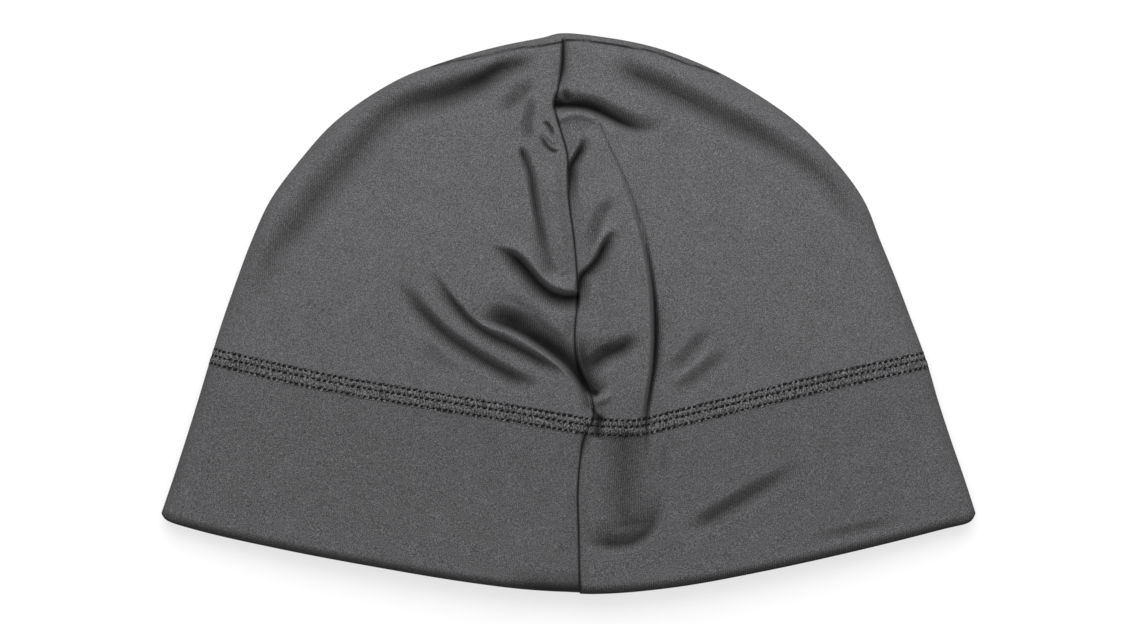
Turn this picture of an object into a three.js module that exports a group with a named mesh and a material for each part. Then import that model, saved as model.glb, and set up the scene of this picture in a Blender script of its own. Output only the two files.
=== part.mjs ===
// Skull cap of thin stretch jersey, lying on its front with the back of the head up.
// Millimetres. +Z is up off the surface it lies on, +Y points to the top of the crown, -Y out of the mouth.
// The cloth is a hollow shell: an upper and a lower layer that turn into each other at the side folds.
import * as THREE from 'three';

// Walls and gaps.
const CROWN_WALL = 1.2;
const BAND_WALL = 2.2;
const SEAM_WALL = 2.4;
const PIECE_GAP = 0.3;

// The stitched seam stands a little proud of the cloth and reaches this far above and below its middle row.
const SEAM_PROUD = 0.35;
const SEAM_ABOVE = 3.0;
const SEAM_BELOW = 3.7;

// The side fold: a round lower half, then an upper half that is an ellipse, then the slow swell of the cloth.
const LOWER_ROUND = 3.0;
const UPPER_RISE = 5.0;
const UPPER_REACH = 6.5;
const SWELL_SPREAD = 42;
const SWELL_AT_HEM = 4.5;
const SWELL_AT_CROWN = 13.5;
const SWELL_FULL_Y = 20;

// The folded hem dips towards the surface at its rim.
const HEM_DIP = 2.2;
const HEM_DIP_REACH = 3.4;
const HEM_TURN = 1.1;
const SIDE_CALM = 14;

// The cloth is drawn in along the seam at the middle of the back.
const SEAM_PINCH = 1.2;
const SEAM_PINCH_REACH = 4.5;
const SEAM_CALM = 1.2;

// Colours of the heathered charcoal jersey and of the thread.
const JERSEY_COLOUR = 0x585858;
const THREAD_COLOUR = 0x3a3a3b;

// Side outline of the cap: the distance left and right of the middle at each height up to the top of the crown.
const OUTLINE = [
  { y: -69.6, left: 140.9, right: 140.9 },
  { y: -57.6, left: 136.8, right: 137.0 },
  { y: -43.8, left: 132.3, right: 132.2 },
  { y: -30.0, left: 128.0, right: 127.7 },
  { y: -17.0, left: 124.1, right: 123.9 },
  { y: -2.4, left: 119.5, right: 118.5 },
  { y: 11.4, left: 114.7, right: 113.3 },
  { y: 25.2, left: 109.5, right: 107.7 },
  { y: 39.0, left: 103.1, right: 102.1 },
  { y: 52.8, left: 92.9, right: 92.0 },
  { y: 66.6, left: 80.2, right: 78.1 },
  { y: 80.4, left: 59.5, right: 57.2 },
  { y: 87.5, left: 41.0, right: 42.4 },
  { y: 92.3, left: 23.6, right: 28.2 },
  { y: 95.3, left: 8.6, right: 12.8 },
];
const APEX = { x: -2.8, y: 96.7 };

// Middle stitch row of the joining seam, from side to side.
const STITCH_LINE = [
  { x: -126.0, y: -13.9 },
  { x: -86.1, y: -22.8 },
  { x: -46.4, y: -29.7 },
  { x: -14.7, y: -34.8 },
  { x: 6.0, y: -38.3 },
  { x: 14.0, y: -38.9 },
  { x: 24.0, y: -38.8 },
  { x: 36.7, y: -35.9 },
  { x: 86.8, y: -23.8 },
  { x: 126.0, y: -15.2 },
];

// Rim of the hem, from side to side.
const HEM_LINE = [
  { x: -140.9, y: -69.8 },
  { x: -139.4, y: -71.2 },
  { x: -128.9, y: -74.75 },
  { x: -97.8, y: -81.7 },
  { x: -66.8, y: -87.5 },
  { x: -35.7, y: -92.7 },
  { x: -10.0, y: -95.9 },
  { x: 10.0, y: -96.8 },
  { x: 36.7, y: -94.5 },
  { x: 67.8, y: -88.9 },
  { x: 98.9, y: -82.1 },
  { x: 128.9, y: -74.7 },
  { x: 139.2, y: -71.8 },
  { x: 140.9, y: -69.8 },
];

// Seam up the middle of the back, from the hem to the top of the crown.
const BACK_SEAM = [
  { x: 3.9, y: -97.2 },
  { x: 3.5, y: -75.0 },
  { x: 3.2, y: -62.0 },
  { x: 4.0, y: -51.0 },
  { x: 5.6, y: -42.0 },
  { x: 8.4, y: -36.5 },
  { x: 8.6, y: -32.5 },
  { x: 7.2, y: -26.5 },
  { x: 4.4, y: -20.5 },
  { x: 2.5, y: -14.0 },
  { x: 2.2, y: -6.0 },
  { x: 3.1, y: 4.0 },
  { x: 3.1, y: 10.0 },
  { x: 1.9, y: 25.2 },
  { x: 0.1, y: 39.0 },
  { x: 0.0, y: 46.0 },
  { x: -0.5, y: 55.0 },
  { x: -2.6, y: 62.5 },
  { x: -4.7, y: 71.0 },
  { x: -3.4, y: 78.0 },
  { x: -2.15, y: 85.5 },
  { x: -2.0, y: 90.0 },
  { x: APEX.x, y: APEX.y },
];

// Ridges (rise above zero) and hollows (below zero) of the upper layer. port and starboard are how far each
// reaches to the left and right of its path, seen from its first point. fadeIn and fadeOut are the shares of its
// length over which it comes up and dies away. crease is 0 for a round section and 1 for a sharp one. side is -1
// or 1, the half of the cap it lies on: it dies out at the back seam.
const FOLDS = [
  { name: 'left rim hollow', side: -1, rise: -3.0, port: 9, starboard: 9,
    fadeIn: 0.15, fadeOut: 0.35, crease: 0,
    path: [[-20, 85.5], [-33, 79], [-54, 72.5], [-70, 60], [-87, 40], [-102, 20], [-113, 0]] },
  { name: 'left rim crease', side: -1, rise: -2.0, port: 6, starboard: 6,
    fadeIn: 0.2, fadeOut: 0.6, crease: 0.1,
    path: [[-9, 89], [-22, 84.8], [-30, 80.8], [-44, 74.4], [-60, 72]] },
  { name: 'right rim hollow', side: 1, rise: -3.0, port: 8, starboard: 8,
    fadeIn: 0.2, fadeOut: 0.4, crease: 0,
    path: [[12, 87], [30, 79], [50, 69], [70, 58.7], [90, 44.8], [102, 24]] },
  { name: 'tuck under the top', side: 1, rise: -4.4, port: 6, starboard: 5,
    fadeIn: 0.1, fadeOut: 0.5, crease: 0.1,
    path: [[-5, 71.8], [5, 71.4], [13, 68.6], [21, 65], [33, 64.6]] },
  { name: 'ridge below the tuck', side: 1, rise: 1.2, port: 4, starboard: 6,
    fadeIn: 0.15, fadeOut: 0.4, crease: 0,
    path: [[-4, 66], [4, 67.5], [13.5, 61]] },
  { name: 'groove left of the seam', side: -1, rise: -2.8, port: 5, starboard: 5,
    fadeIn: 0.2, fadeOut: 0.25, crease: 0.2,
    path: [[-16.8, 58], [-13, 47], [-11, 34], [-8.2, 22], [-3, 11]] },
  { name: 'tube left of the seam', side: -1, rise: 1.8, port: 5, starboard: 5,
    fadeIn: 0.3, fadeOut: 0.2, crease: 0,
    path: [[-8, 58], [-7, 46], [-4, 28], [-1, 12]] },
  { name: 'left hook ridge', side: -1, rise: 1.4, port: 6, starboard: 4,
    fadeIn: 0.4, fadeOut: 0.15, crease: 0,
    path: [[-25, 24], [-14, 19.5], [-6, 12], [3, 9]] },
  { name: 'left hook hollow', side: -1, rise: -3.8, port: 5, starboard: 8,
    fadeIn: 0.35, fadeOut: 0.1, crease: 0.1,
    path: [[-28, 21.5], [-16.5, 16.8], [-10, 9.8], [-2, 5.4], [4, 5]] },
  { name: 'big valley', side: -1, rise: -5.0, port: 8, starboard: 6.5,
    fadeIn: 0.3, fadeOut: 0.12, crease: 0.1,
    path: [[-33, 0], [-15, -7], [0, -18], [9, -29]] },
  { name: 'second valley', side: -1, rise: -2.4, port: 5, starboard: 7,
    fadeIn: 0.35, fadeOut: 0.4, crease: 0.1,
    path: [[-49, 15.5], [-38, 3], [-28, -7.4], [-13, -14.5], [-3, -21.5]] },
  { name: 'third valley', side: -1, rise: -2.6, port: 6, starboard: 7,
    fadeIn: 0.3, fadeOut: 0.35, crease: 0.1,
    path: [[-61, 12.5], [-45, -4.5], [-30, -15.5], [-9, -26.5]] },
  { name: 'fourth valley', side: -1, rise: -1.2, port: 5, starboard: 6,
    fadeIn: 0.4, fadeOut: 0.4, crease: 0.2,
    path: [[-54, -8], [-45, -17], [-36, -24]] },
  { name: 'notch right of the seam', side: 1, rise: -3.2, port: 5, starboard: 4.5,
    fadeIn: 0.25, fadeOut: 0.5, crease: 0.1,
    path: [[6.1, 61.2], [2.7, 53.8], [0.6, 40]] },
  { name: 'right soft hollow', side: 1, rise: -1.6, port: 5, starboard: 6,
    fadeIn: 0.35, fadeOut: 0.4, crease: 0,
    path: [[16, 37.5], [10, 31.5], [7, 22.5]] },
  { name: 'right slant hollow', side: 1, rise: -3.4, port: 6, starboard: 4.5,
    fadeIn: 0.3, fadeOut: 0.3, crease: 0.1,
    path: [[18.5, 28], [11.8, 22.5], [7, 15.2], [3.2, 3]] },
  { name: 'low hollow right of the seam', side: 1, rise: -3.4, port: 5, starboard: 7,
    fadeIn: 0.3, fadeOut: 0.25, crease: 0.1,
    path: [[23.5, -9.9], [13, -14.6], [4.5, -21]] },
  { name: 'pleat', side: 1, rise: 4.2, port: 2.6, starboard: 22,
    fadeIn: 0.5, fadeOut: 0.25, crease: 0,
    path: [[9, 66], [14.4, 53], [21.6, 35], [26.3, 15], [27.8, -6], [25.9, -28], [25.1, -52]] },
  { name: 'right slant crease', side: 1, rise: -1.6, port: 5, starboard: 6,
    fadeIn: 0.4, fadeOut: 0.4, crease: 0,
    path: [[49, -6], [40.5, -15], [33.5, -23]] },
  { name: 'band hollow', side: 1, rise: -2.0, port: 5, starboard: 7,
    fadeIn: 0.3, fadeOut: 0.3, crease: 0.2,
    path: [[39, -77], [56, -66.5], [82, -51.5]] },
  { name: 'low band hollow', side: 1, rise: -1.0, port: 4, starboard: 5,
    fadeIn: 0.4, fadeOut: 0.3, crease: 0,
    path: [[80, -78], [103, -73.5], [122, -68.5]] },
  { name: 'band dent', side: 1, rise: -1.3, port: 12, starboard: 11,
    fadeIn: 0.15, fadeOut: 0.15, crease: 0,
    path: [[18.8, -40], [18.8, -60], [18.3, -77]] },
  { name: 'foot of the band dent', side: 1, rise: -1.8, port: 7, starboard: 5,
    fadeIn: 0.3, fadeOut: 0.45, crease: 0.1,
    path: [[6, -76.6], [15, -78.4], [27, -74], [30.6, -62]] },
];

// Fineness of the cloth's net. A top row runs from the back seam to the side fold: a dense stretch across the
// folds, a wide stretch, then the round of the side fold.
const DENSE_COLUMNS = 14;
const DENSE_SHARE = 0.4;
const WIDE_COLUMNS = 6;
const WIDE_GROWTH = 1.15;
const TURN_COLUMNS = 3;
const LOWER_COLUMNS = 5;
const CROWN_ROWS = 30;
const APEX_ROWS = 3;
const BAND_ROWS = [0, 0.15, 0.32, 0.5, 0.66, 0.79, 0.89, 0.95];
const NOSE_SHARE = 0.3;
const EDGE_FOLLOW = 5;
const SEAM_FOLLOW = 10;
const BAND_EDGE_FOLLOW = 6;
const CURVE_STEPS = 12;
const EDGE_SHARE = 0.4;
const OUTLINE_RUN_ON = 8;

const clamp01 = (value) => Math.min(Math.max(value, 0), 1);

function smoothStep(value) {
  const t = clamp01(value);
  return t * t * (3 - 2 * t);
}

function smoothLine(points) {
  const places = points.map((p) => new THREE.Vector3(p.x, p.y, 0));
  const curve = new THREE.CatmullRomCurve3(places, false, 'centripetal');
  return curve.getPoints(CURVE_STEPS * (points.length - 1));
}

// Value of a line's x or y where the other one, which grows along the line, has a given value.
function lookUp(line, along, value) {
  const across = along === 'x' ? 'y' : 'x';
  let index = line.findIndex((p) => p[along] >= value);
  if (index < 0) {
    index = line.length - 1;
  }
  index = Math.max(index, 1);
  const from = line[index - 1];
  const to = line[index];
  const share = clamp01((value - from[along]) / (to[along] - from[along]));
  return from[across] + share * (to[across] - from[across]);
}

// Nearest place on a line: its distance, the side it is on, how far along it lies and the line's direction there.
function nearestOn(line, x, y) {
  let best = { distance: Infinity };
  for (let i = 1; i < line.length; i += 1) {
    const from = line[i - 1];
    const dx = line[i].x - from.x;
    const dy = line[i].y - from.y;
    const length = Math.hypot(dx, dy);
    const t = clamp01(((x - from.x) * dx + (y - from.y) * dy) / (length * length));
    const awayX = x - from.x - t * dx;
    const awayY = y - from.y - t * dy;
    const distance = Math.hypot(awayX, awayY);
    if (distance < best.distance) {
      best = {
        distance,
        left: dx * awayY - dy * awayX > 0,
        along: (i - 1 + t) / (line.length - 1),
        dirX: dx / length,
        dirY: dy / length,
      };
    }
  }
  return best;
}

function arcLengths(line) {
  const lengths = [0];
  for (let i = 1; i < line.length; i += 1) {
    lengths.push(lengths[i - 1] + line[i].distanceTo(line[i - 1]));
  }
  return lengths;
}

function pointAtArc(line, lengths, arc) {
  let index = lengths.findIndex((length) => length >= arc);
  if (index < 0) {
    index = line.length - 1;
  }
  index = Math.max(index, 1);
  const share = (arc - lengths[index - 1]) / (lengths[index] - lengths[index - 1]);
  return line[index - 1].clone().lerp(line[index], clamp01(share));
}

const stitchLine = smoothLine(STITCH_LINE);
const hemLine = smoothLine(HEM_LINE);
const backSeam = smoothLine(BACK_SEAM);
const seamX = (y) => lookUp(backSeam, 'y', y);
const stitchY = (x) => lookUp(stitchLine, 'x', x);
const hemY = (x) => lookUp(hemLine, 'x', x);

// The whole outline runs clockwise from the left corner of the hem over the crown to the right corner.
const leftOutline = OUTLINE.map((row) => ({ x: -row.left, y: row.y }));
const rightOutline = OUTLINE.map((row) => ({ x: row.right, y: row.y })).reverse();
const outline = smoothLine([...leftOutline, APEX, ...rightOutline]);
const apexIndex = OUTLINE.length * CURVE_STEPS;

// Each side's outline from the hem corner up to the apex.
const sideOutlines = new Map([
  [-1, outline.slice(0, apexIndex + 1)],
  [1, outline.slice(apexIndex).reverse()],
]);

// For distances the outline runs on a little past both corners of the hem.
function runOn(end, before) {
  return end.clone().add(end.clone().sub(before).setLength(OUTLINE_RUN_ON));
}
const longOutline = [runOn(outline[0], outline[1]), ...outline, runOn(outline.at(-1), outline.at(-2))];

const foldLines = FOLDS.map((fold) => ({
  ...fold,
  line: smoothLine(fold.path.map(([x, y]) => ({ x, y }))),
}));

function foldHeight(x, y) {
  const fromSeam = x - seamX(y);
  let height = -SEAM_PINCH * (1 - smoothStep(Math.abs(fromSeam) / SEAM_PINCH_REACH));
  for (const fold of foldLines) {
    const near = nearestOn(fold.line, x, y);
    const reach = near.left ? fold.port : fold.starboard;
    if (near.distance < reach) {
      const away = near.distance / reach;
      const section = (1 - fold.crease) * (1 - away * away) ** 2 + fold.crease * (1 - away) ** 2;
      const ends = smoothStep(near.along / fold.fadeIn) * smoothStep((1 - near.along) / fold.fadeOut);
      const calm = smoothStep(1 + (fold.side * fromSeam) / SEAM_CALM);
      height += fold.rise * section * ends * calm;
    }
  }
  return height;
}

// A point of the cloth's outer face with its outward normal, on the upper or on the lower layer.
function clothPoint(x, y, upper) {
  const near = nearestOn(longOutline, x, y);
  const inward = near.left ? -near.distance : near.distance;
  const depth = Math.max(inward, 0);
  let height = 0;
  let steepness = 0;
  if (upper) {
    const share = Math.min(depth / UPPER_REACH, 1);
    const arch = Math.sqrt(1 - (1 - share) ** 2);
    const rising = smoothStep((y - hemY(x)) / (SWELL_FULL_Y - hemY(x)));
    const swell = SWELL_AT_HEM + rising * (SWELL_AT_CROWN - SWELL_AT_HEM);
    const dip = HEM_DIP * clamp01(1 - (y - hemY(x)) / HEM_DIP_REACH) ** 2;
    height = LOWER_ROUND + UPPER_RISE * arch + swell * (1 - Math.exp(-depth / SWELL_SPREAD));
    height += (foldHeight(x, y) - dip) * smoothStep(depth / SIDE_CALM);
    steepness = arch > 0 ? (UPPER_RISE * (1 - share)) / (UPPER_REACH * arch) : Infinity;
    steepness += (swell / SWELL_SPREAD) * Math.exp(-depth / SWELL_SPREAD);
  } else {
    const share = clamp01(1 - depth / LOWER_ROUND);
    const drop = Math.sqrt(1 - share * share);
    height = LOWER_ROUND * (1 - drop);
    steepness = drop > 0 ? share / drop : Infinity;
  }
  const outX = -near.dirY;
  const outY = near.dirX;
  const level = Number.isFinite(steepness) ? steepness / Math.hypot(steepness, 1) : 1;
  const upright = Number.isFinite(steepness) ? 1 / Math.hypot(steepness, 1) : 0;
  const besideSeam = smoothStep(Math.abs(x - seamX(y)) / UPPER_REACH);
  const normal = new THREE.Vector3(outX * level * besideSeam, outY * level, upper ? upright : -upright);
  return { point: new THREE.Vector3(x, y, height), normal: normal.normalize() };
}

// Shares of the way from the back seam (0) to the side fold (1) at which a top row of a given length has points.
function topShares(length) {
  const turn = Math.min(UPPER_REACH, EDGE_SHARE * length);
  const inner = 1 - turn / length;
  const shares = [];
  for (let i = 0; i < DENSE_COLUMNS; i += 1) {
    shares.push((inner * DENSE_SHARE * i) / DENSE_COLUMNS);
  }
  for (let i = 0; i < WIDE_COLUMNS; i += 1) {
    shares.push(inner * (DENSE_SHARE + (1 - DENSE_SHARE) * (i / WIDE_COLUMNS) ** WIDE_GROWTH));
  }
  for (let i = TURN_COLUMNS; i >= 0; i -= 1) {
    shares.push(1 - (turn / length) * (1 - Math.cos((0.5 * Math.PI * i) / TURN_COLUMNS)));
  }
  return shares;
}

// The same for the lower row, from the side fold (1) back to the front seam (0).
function lowerShares(length) {
  const turn = Math.min(LOWER_ROUND, EDGE_SHARE * length);
  const shares = [];
  for (let i = 1; i <= TURN_COLUMNS; i += 1) {
    shares.push(1 - (turn / length) * (1 - Math.cos((0.5 * Math.PI * i) / TURN_COLUMNS)));
  }
  for (let i = 1; i <= LOWER_COLUMNS; i += 1) {
    shares.push((1 - turn / length) * (1 - i / LOWER_COLUMNS));
  }
  return shares;
}

// One row of the cloth on one side of the seam: over the top, round the side fold and back along the bottom.
function sideRow(length, place) {
  const top = topShares(length).map((share) => clothPoint(...place(share), true));
  const lower = lowerShares(length).map((share) => clothPoint(...place(share), false));
  return [...top, ...lower];
}

// A row all the way round: up one side from the back seam, along the bottom and back up the other side.
function roundRow(lengths, places) {
  const right = sideRow(lengths.right, places.right);
  const left = sideRow(lengths.left, places.left).reverse();
  return [...right, ...left.slice(1)];
}

// The place on one side's outline that lies a given way above the middle stitch row, as arc length and point.
function sideCrossing(side, above) {
  const line = sideOutlines.get(side);
  const lengths = arcLengths(line);
  const index = line.findIndex((p) => p.y - stitchY(p.x) >= above);
  const before = line[index - 1].y - stitchY(line[index - 1].x) - above;
  const after = line[index].y - stitchY(line[index].x) - above;
  const share = before / (before - after);
  const arc = lengths[index - 1] + share * (lengths[index] - lengths[index - 1]);
  return { arc, point: line[index - 1].clone().lerp(line[index], share) };
}

// The outer and inner point of a wall at one place of the cloth.
const settle = (cloth, wall, proud = 0) => ({
  outer: cloth.point.clone().addScaledVector(cloth.normal, proud),
  inner: cloth.point.clone().addScaledVector(cloth.normal, -wall),
});

function signedVolume(positions, index) {
  const corner = (i) => new THREE.Vector3().fromArray(positions, 3 * index[i]);
  let volume = 0;
  for (let i = 0; i < index.length; i += 3) {
    volume += corner(i).dot(corner(i + 1).cross(corner(i + 2))) / 6;
  }
  return volume;
}

// Closes an outer and an inner net of points, given as rows of settled places, into one solid. A row of one place
// is a pole, where the rows meet, and a ring's rows close on themselves.
function shell(rows, ring = false) {
  const positions = [];
  const numbers = rows.map((row) => row.map((place) => {
    positions.push(...place.outer.toArray(), ...place.inner.toArray());
    return positions.length / 3 - 2;
  }));
  const at = (row, column) => numbers[row][column % numbers[row].length];
  let index = [];
  const face = (...corners) => {
    if (new Set(corners).size === 3) {
      index.push(...corners);
    }
  };
  const quad = (a, b, c, d) => {
    face(a, b, c);
    face(a, c, d);
  };
  const lastRow = rows.length - 1;
  const lastColumn = ring ? rows[0].length : rows[0].length - 1;
  for (let row = 0; row < lastRow; row += 1) {
    for (let column = 0; column < lastColumn; column += 1) {
      const corners = [at(row, column), at(row, column + 1), at(row + 1, column + 1), at(row + 1, column)];
      quad(...corners);
      quad(...corners.map((corner) => corner + 1).reverse());
    }
    if (!ring) {
      quad(at(row, 0) + 1, at(row, 0), at(row + 1, 0), at(row + 1, 0) + 1);
      const [end, above] = [at(row, lastColumn), at(row + 1, lastColumn)];
      quad(end, end + 1, above + 1, above);
    }
  }
  for (let column = 0; column < lastColumn; column += 1) {
    const next = column + 1;
    quad(at(0, column), at(0, column) + 1, at(0, next) + 1, at(0, next));
    if (numbers[lastRow].length > 1) {
      quad(at(lastRow, column) + 1, at(lastRow, column), at(lastRow, next), at(lastRow, next) + 1);
    }
  }
  if (signedVolume(positions, index) < 0) {
    index = index.reverse();
  }
  const geometry = new THREE.BufferGeometry();
  geometry.setAttribute('position', new THREE.Float32BufferAttribute(positions, 3));
  geometry.setIndex(index);
  geometry.computeVertexNormals();
  return geometry;
}

// Half of the crown. Its rows fan from the joining seam to the apex, where they all meet.
function crownPanel(side) {
  const line = sideOutlines.get(side);
  const above = SEAM_ABOVE + PIECE_GAP;
  const foot = sideCrossing(side, above);
  const apexArc = arcLengths(line).at(-1) - PIECE_GAP / 2;
  const seamLengths = arcLengths(backSeam);
  const seamFoot = seamLengths[backSeam.findIndex((p) => p.y - stitchY(p.x) >= above)];
  const seamLength = seamLengths.at(-1) - seamFoot;
  const turn = UPPER_REACH / seamLength;
  const ways = [];
  for (let i = 0; i < CROWN_ROWS; i += 1) {
    ways.push(1 - (i / CROWN_ROWS) * (1 - turn));
  }
  for (let i = APEX_ROWS; i > 0; i -= 1) {
    ways.push(turn * (1 - Math.cos((0.5 * Math.PI * i) / APEX_ROWS)));
  }
  const seamPlace = (way) => {
    const p = pointAtArc(backSeam, seamLengths, seamLengths.at(-1) - way * seamLength);
    p.x += (side * PIECE_GAP) / 2;
    return p;
  };
  const corner = seamPlace(1);
  const edgeSag = (x) => {
    const chord = corner.y + ((x - corner.x) / (foot.point.x - corner.x)) * (foot.point.y - corner.y);
    return stitchY(x) + above - chord;
  };
  const rows = ways.map((way) => {
    const start = seamPlace(way);
    const end = pointAtArc(line, arcLengths(line), apexArc - way * (apexArc - foot.arc));
    const place = (share) => {
      const p = start.clone().lerp(end, share);
      const sag = edgeSag(p.x) - (1 - share) ** SEAM_FOLLOW * edgeSag(start.x);
      return [p.x, p.y + way ** EDGE_FOLLOW * sag];
    };
    return sideRow(start.distanceTo(end), place).map((cloth) => settle(cloth, CROWN_WALL));
  });
  const tip = pointAtArc(line, arcLengths(line), apexArc);
  rows.push([settle(clothPoint(tip.x, tip.y, true), CROWN_WALL)]);
  return shell(rows);
}

// The stitched ring between crown and headband. Only its upper face stands proud: below, it lies on the surface.
function joiningSeam() {
  const rows = [-SEAM_BELOW, 0, SEAM_ABOVE].map((above) => {
    const middleX = seamX(stitchY(0) + above);
    const run = (side) => sideCrossing(side, above).point.x - middleX;
    const place = (side) => (share) => {
      const x = middleX + share * run(side);
      return [x, stitchY(x) + above];
    };
    const row = roundRow({ left: Math.abs(run(-1)), right: run(1) }, { left: place(-1), right: place(1) });
    return row.slice(0, -1).map((cloth) => settle(cloth, SEAM_WALL, cloth.normal.z >= 0 ? SEAM_PROUD : 0));
  });
  return shell(rows, true);
}

// The headband: one strip round the head, its ends meeting at the back, its lower edge folded into a soft nose.
function headband() {
  const below = -(SEAM_BELOW + PIECE_GAP);
  const ends = (side) => {
    const { arc, point: top } = sideCrossing(side, below);
    const topX = seamX(stitchY(0)) + (side * PIECE_GAP) / 2;
    const hemX = seamX(hemY(0)) + (side * PIECE_GAP) / 2;
    const hem = new THREE.Vector3(side * OUTLINE[0].left, OUTLINE[0].y, 0);
    return { arc, top, topX, hem, hemX };
  };
  const row = (share, wall, proud) => {
    const place = (side) => {
      const { arc, top, topX, hem, hemX } = ends(side);
      const line = sideOutlines.get(side);
      const edge = pointAtArc(line, arcLengths(line), arc * (1 - share));
      edge.sub(top.clone().lerp(hem, share));
      const startY = (1 - share) * (stitchY(topX) + below) + share * hemY(hemX);
      const bow = seamX(startY) + (side * PIECE_GAP) / 2 - ((1 - share) * topX + share * hemX);
      return (across) => {
        const shift = bow * (1 - across) ** 2;
        const upperX = topX + across * (top.x - topX) + shift;
        const lowerX = hemX + across * (hem.x - hemX) + shift;
        const x = (1 - share) * upperX + share * lowerX;
        const y = (1 - share) * (stitchY(upperX) + below) + share * hemY(lowerX);
        const follow = across ** BAND_EDGE_FOLLOW;
        return [x + follow * edge.x, y + follow * edge.y];
      };
    };
    const width = OUTLINE[0].left;
    return roundRow({ left: width, right: width }, { left: place(-1), right: place(1) })
      .map((cloth) => settle(cloth, wall, proud));
  };
  const height = stitchY(0) + below - hemY(0);
  const rows = BAND_ROWS.map((share) => row(share, BAND_WALL, 0));
  rows.push(row(1 - HEM_TURN / height, BAND_WALL, 0));
  rows.push(row(1, (1 - NOSE_SHARE) * BAND_WALL, -NOSE_SHARE * BAND_WALL));
  return shell(rows);
}

const jersey = new THREE.MeshStandardMaterial({ color: JERSEY_COLOUR, roughness: 0.9, metalness: 0 });
const thread = new THREE.MeshStandardMaterial({ color: THREAD_COLOUR, roughness: 0.8, metalness: 0 });

function piece(name, geometry, material) {
  const mesh = new THREE.Mesh(geometry, material);
  mesh.name = name;
  return mesh;
}

const cap = new THREE.Group();
cap.name = 'skull_cap';
cap.add(
  piece('crown_left_panel', crownPanel(-1), jersey),
  piece('crown_right_panel', crownPanel(1), jersey),
  piece('joining_seam', joiningSeam(), thread),
  piece('headband', headband(), jersey),
);

export default cap;
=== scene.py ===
"""A skull cap of heathered stretch jersey, lying flat with its back up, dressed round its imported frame.

Lengths are millimetres until a mesh is written, which turns them into metres. +X runs across the hem, +Y from
the hem to the top of the crown and +Z up off the surface. Every piece is a closed wall of cloth: an outer
face, an inner face and the edges between them.
"""
import logging
import math
from collections.abc import Iterator
from dataclasses import dataclass, field
from enum import Enum

import bpy
import numpy as np
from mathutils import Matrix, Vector


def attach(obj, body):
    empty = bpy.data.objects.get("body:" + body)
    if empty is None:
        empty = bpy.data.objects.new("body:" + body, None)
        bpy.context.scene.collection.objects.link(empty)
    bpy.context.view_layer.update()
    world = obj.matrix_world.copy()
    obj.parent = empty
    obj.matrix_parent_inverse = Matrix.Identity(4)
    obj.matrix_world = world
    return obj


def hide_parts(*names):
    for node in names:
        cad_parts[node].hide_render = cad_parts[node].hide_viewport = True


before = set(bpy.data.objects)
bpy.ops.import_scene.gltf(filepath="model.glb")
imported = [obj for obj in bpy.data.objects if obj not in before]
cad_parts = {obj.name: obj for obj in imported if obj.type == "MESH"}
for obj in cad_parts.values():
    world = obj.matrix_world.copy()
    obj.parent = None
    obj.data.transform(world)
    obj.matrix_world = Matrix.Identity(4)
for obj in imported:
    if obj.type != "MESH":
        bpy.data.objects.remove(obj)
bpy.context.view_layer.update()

MM = 0.001
TINY = 1e-9
LOG = logging.getLogger("skull_cap")

Path = tuple[tuple[float, float], ...]  # places across and up the cap, in order
Tree = bpy.types.NodeTree
Socket = bpy.types.NodeSocket


class Layer(Enum):
    """The two layers of the cap as it lies."""

    UPPER = 1
    LOWER = -1


class Side(Enum):
    """A half of the cap, left or right of the back seam, or both."""

    LEFT = -1
    RIGHT = 1
    BOTH = 0


def eased(value: np.ndarray) -> np.ndarray:
    """Returns value held between 0 and 1 and eased at both ends."""
    held = np.clip(value, 0.0, 1.0)
    return held * held * (3.0 - 2.0 * held)


def between(start: np.ndarray, end: np.ndarray, share: np.ndarray) -> np.ndarray:
    """Returns the value that lies a share of the way from start to end."""
    return (1.0 - share) * start + share * end


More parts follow.
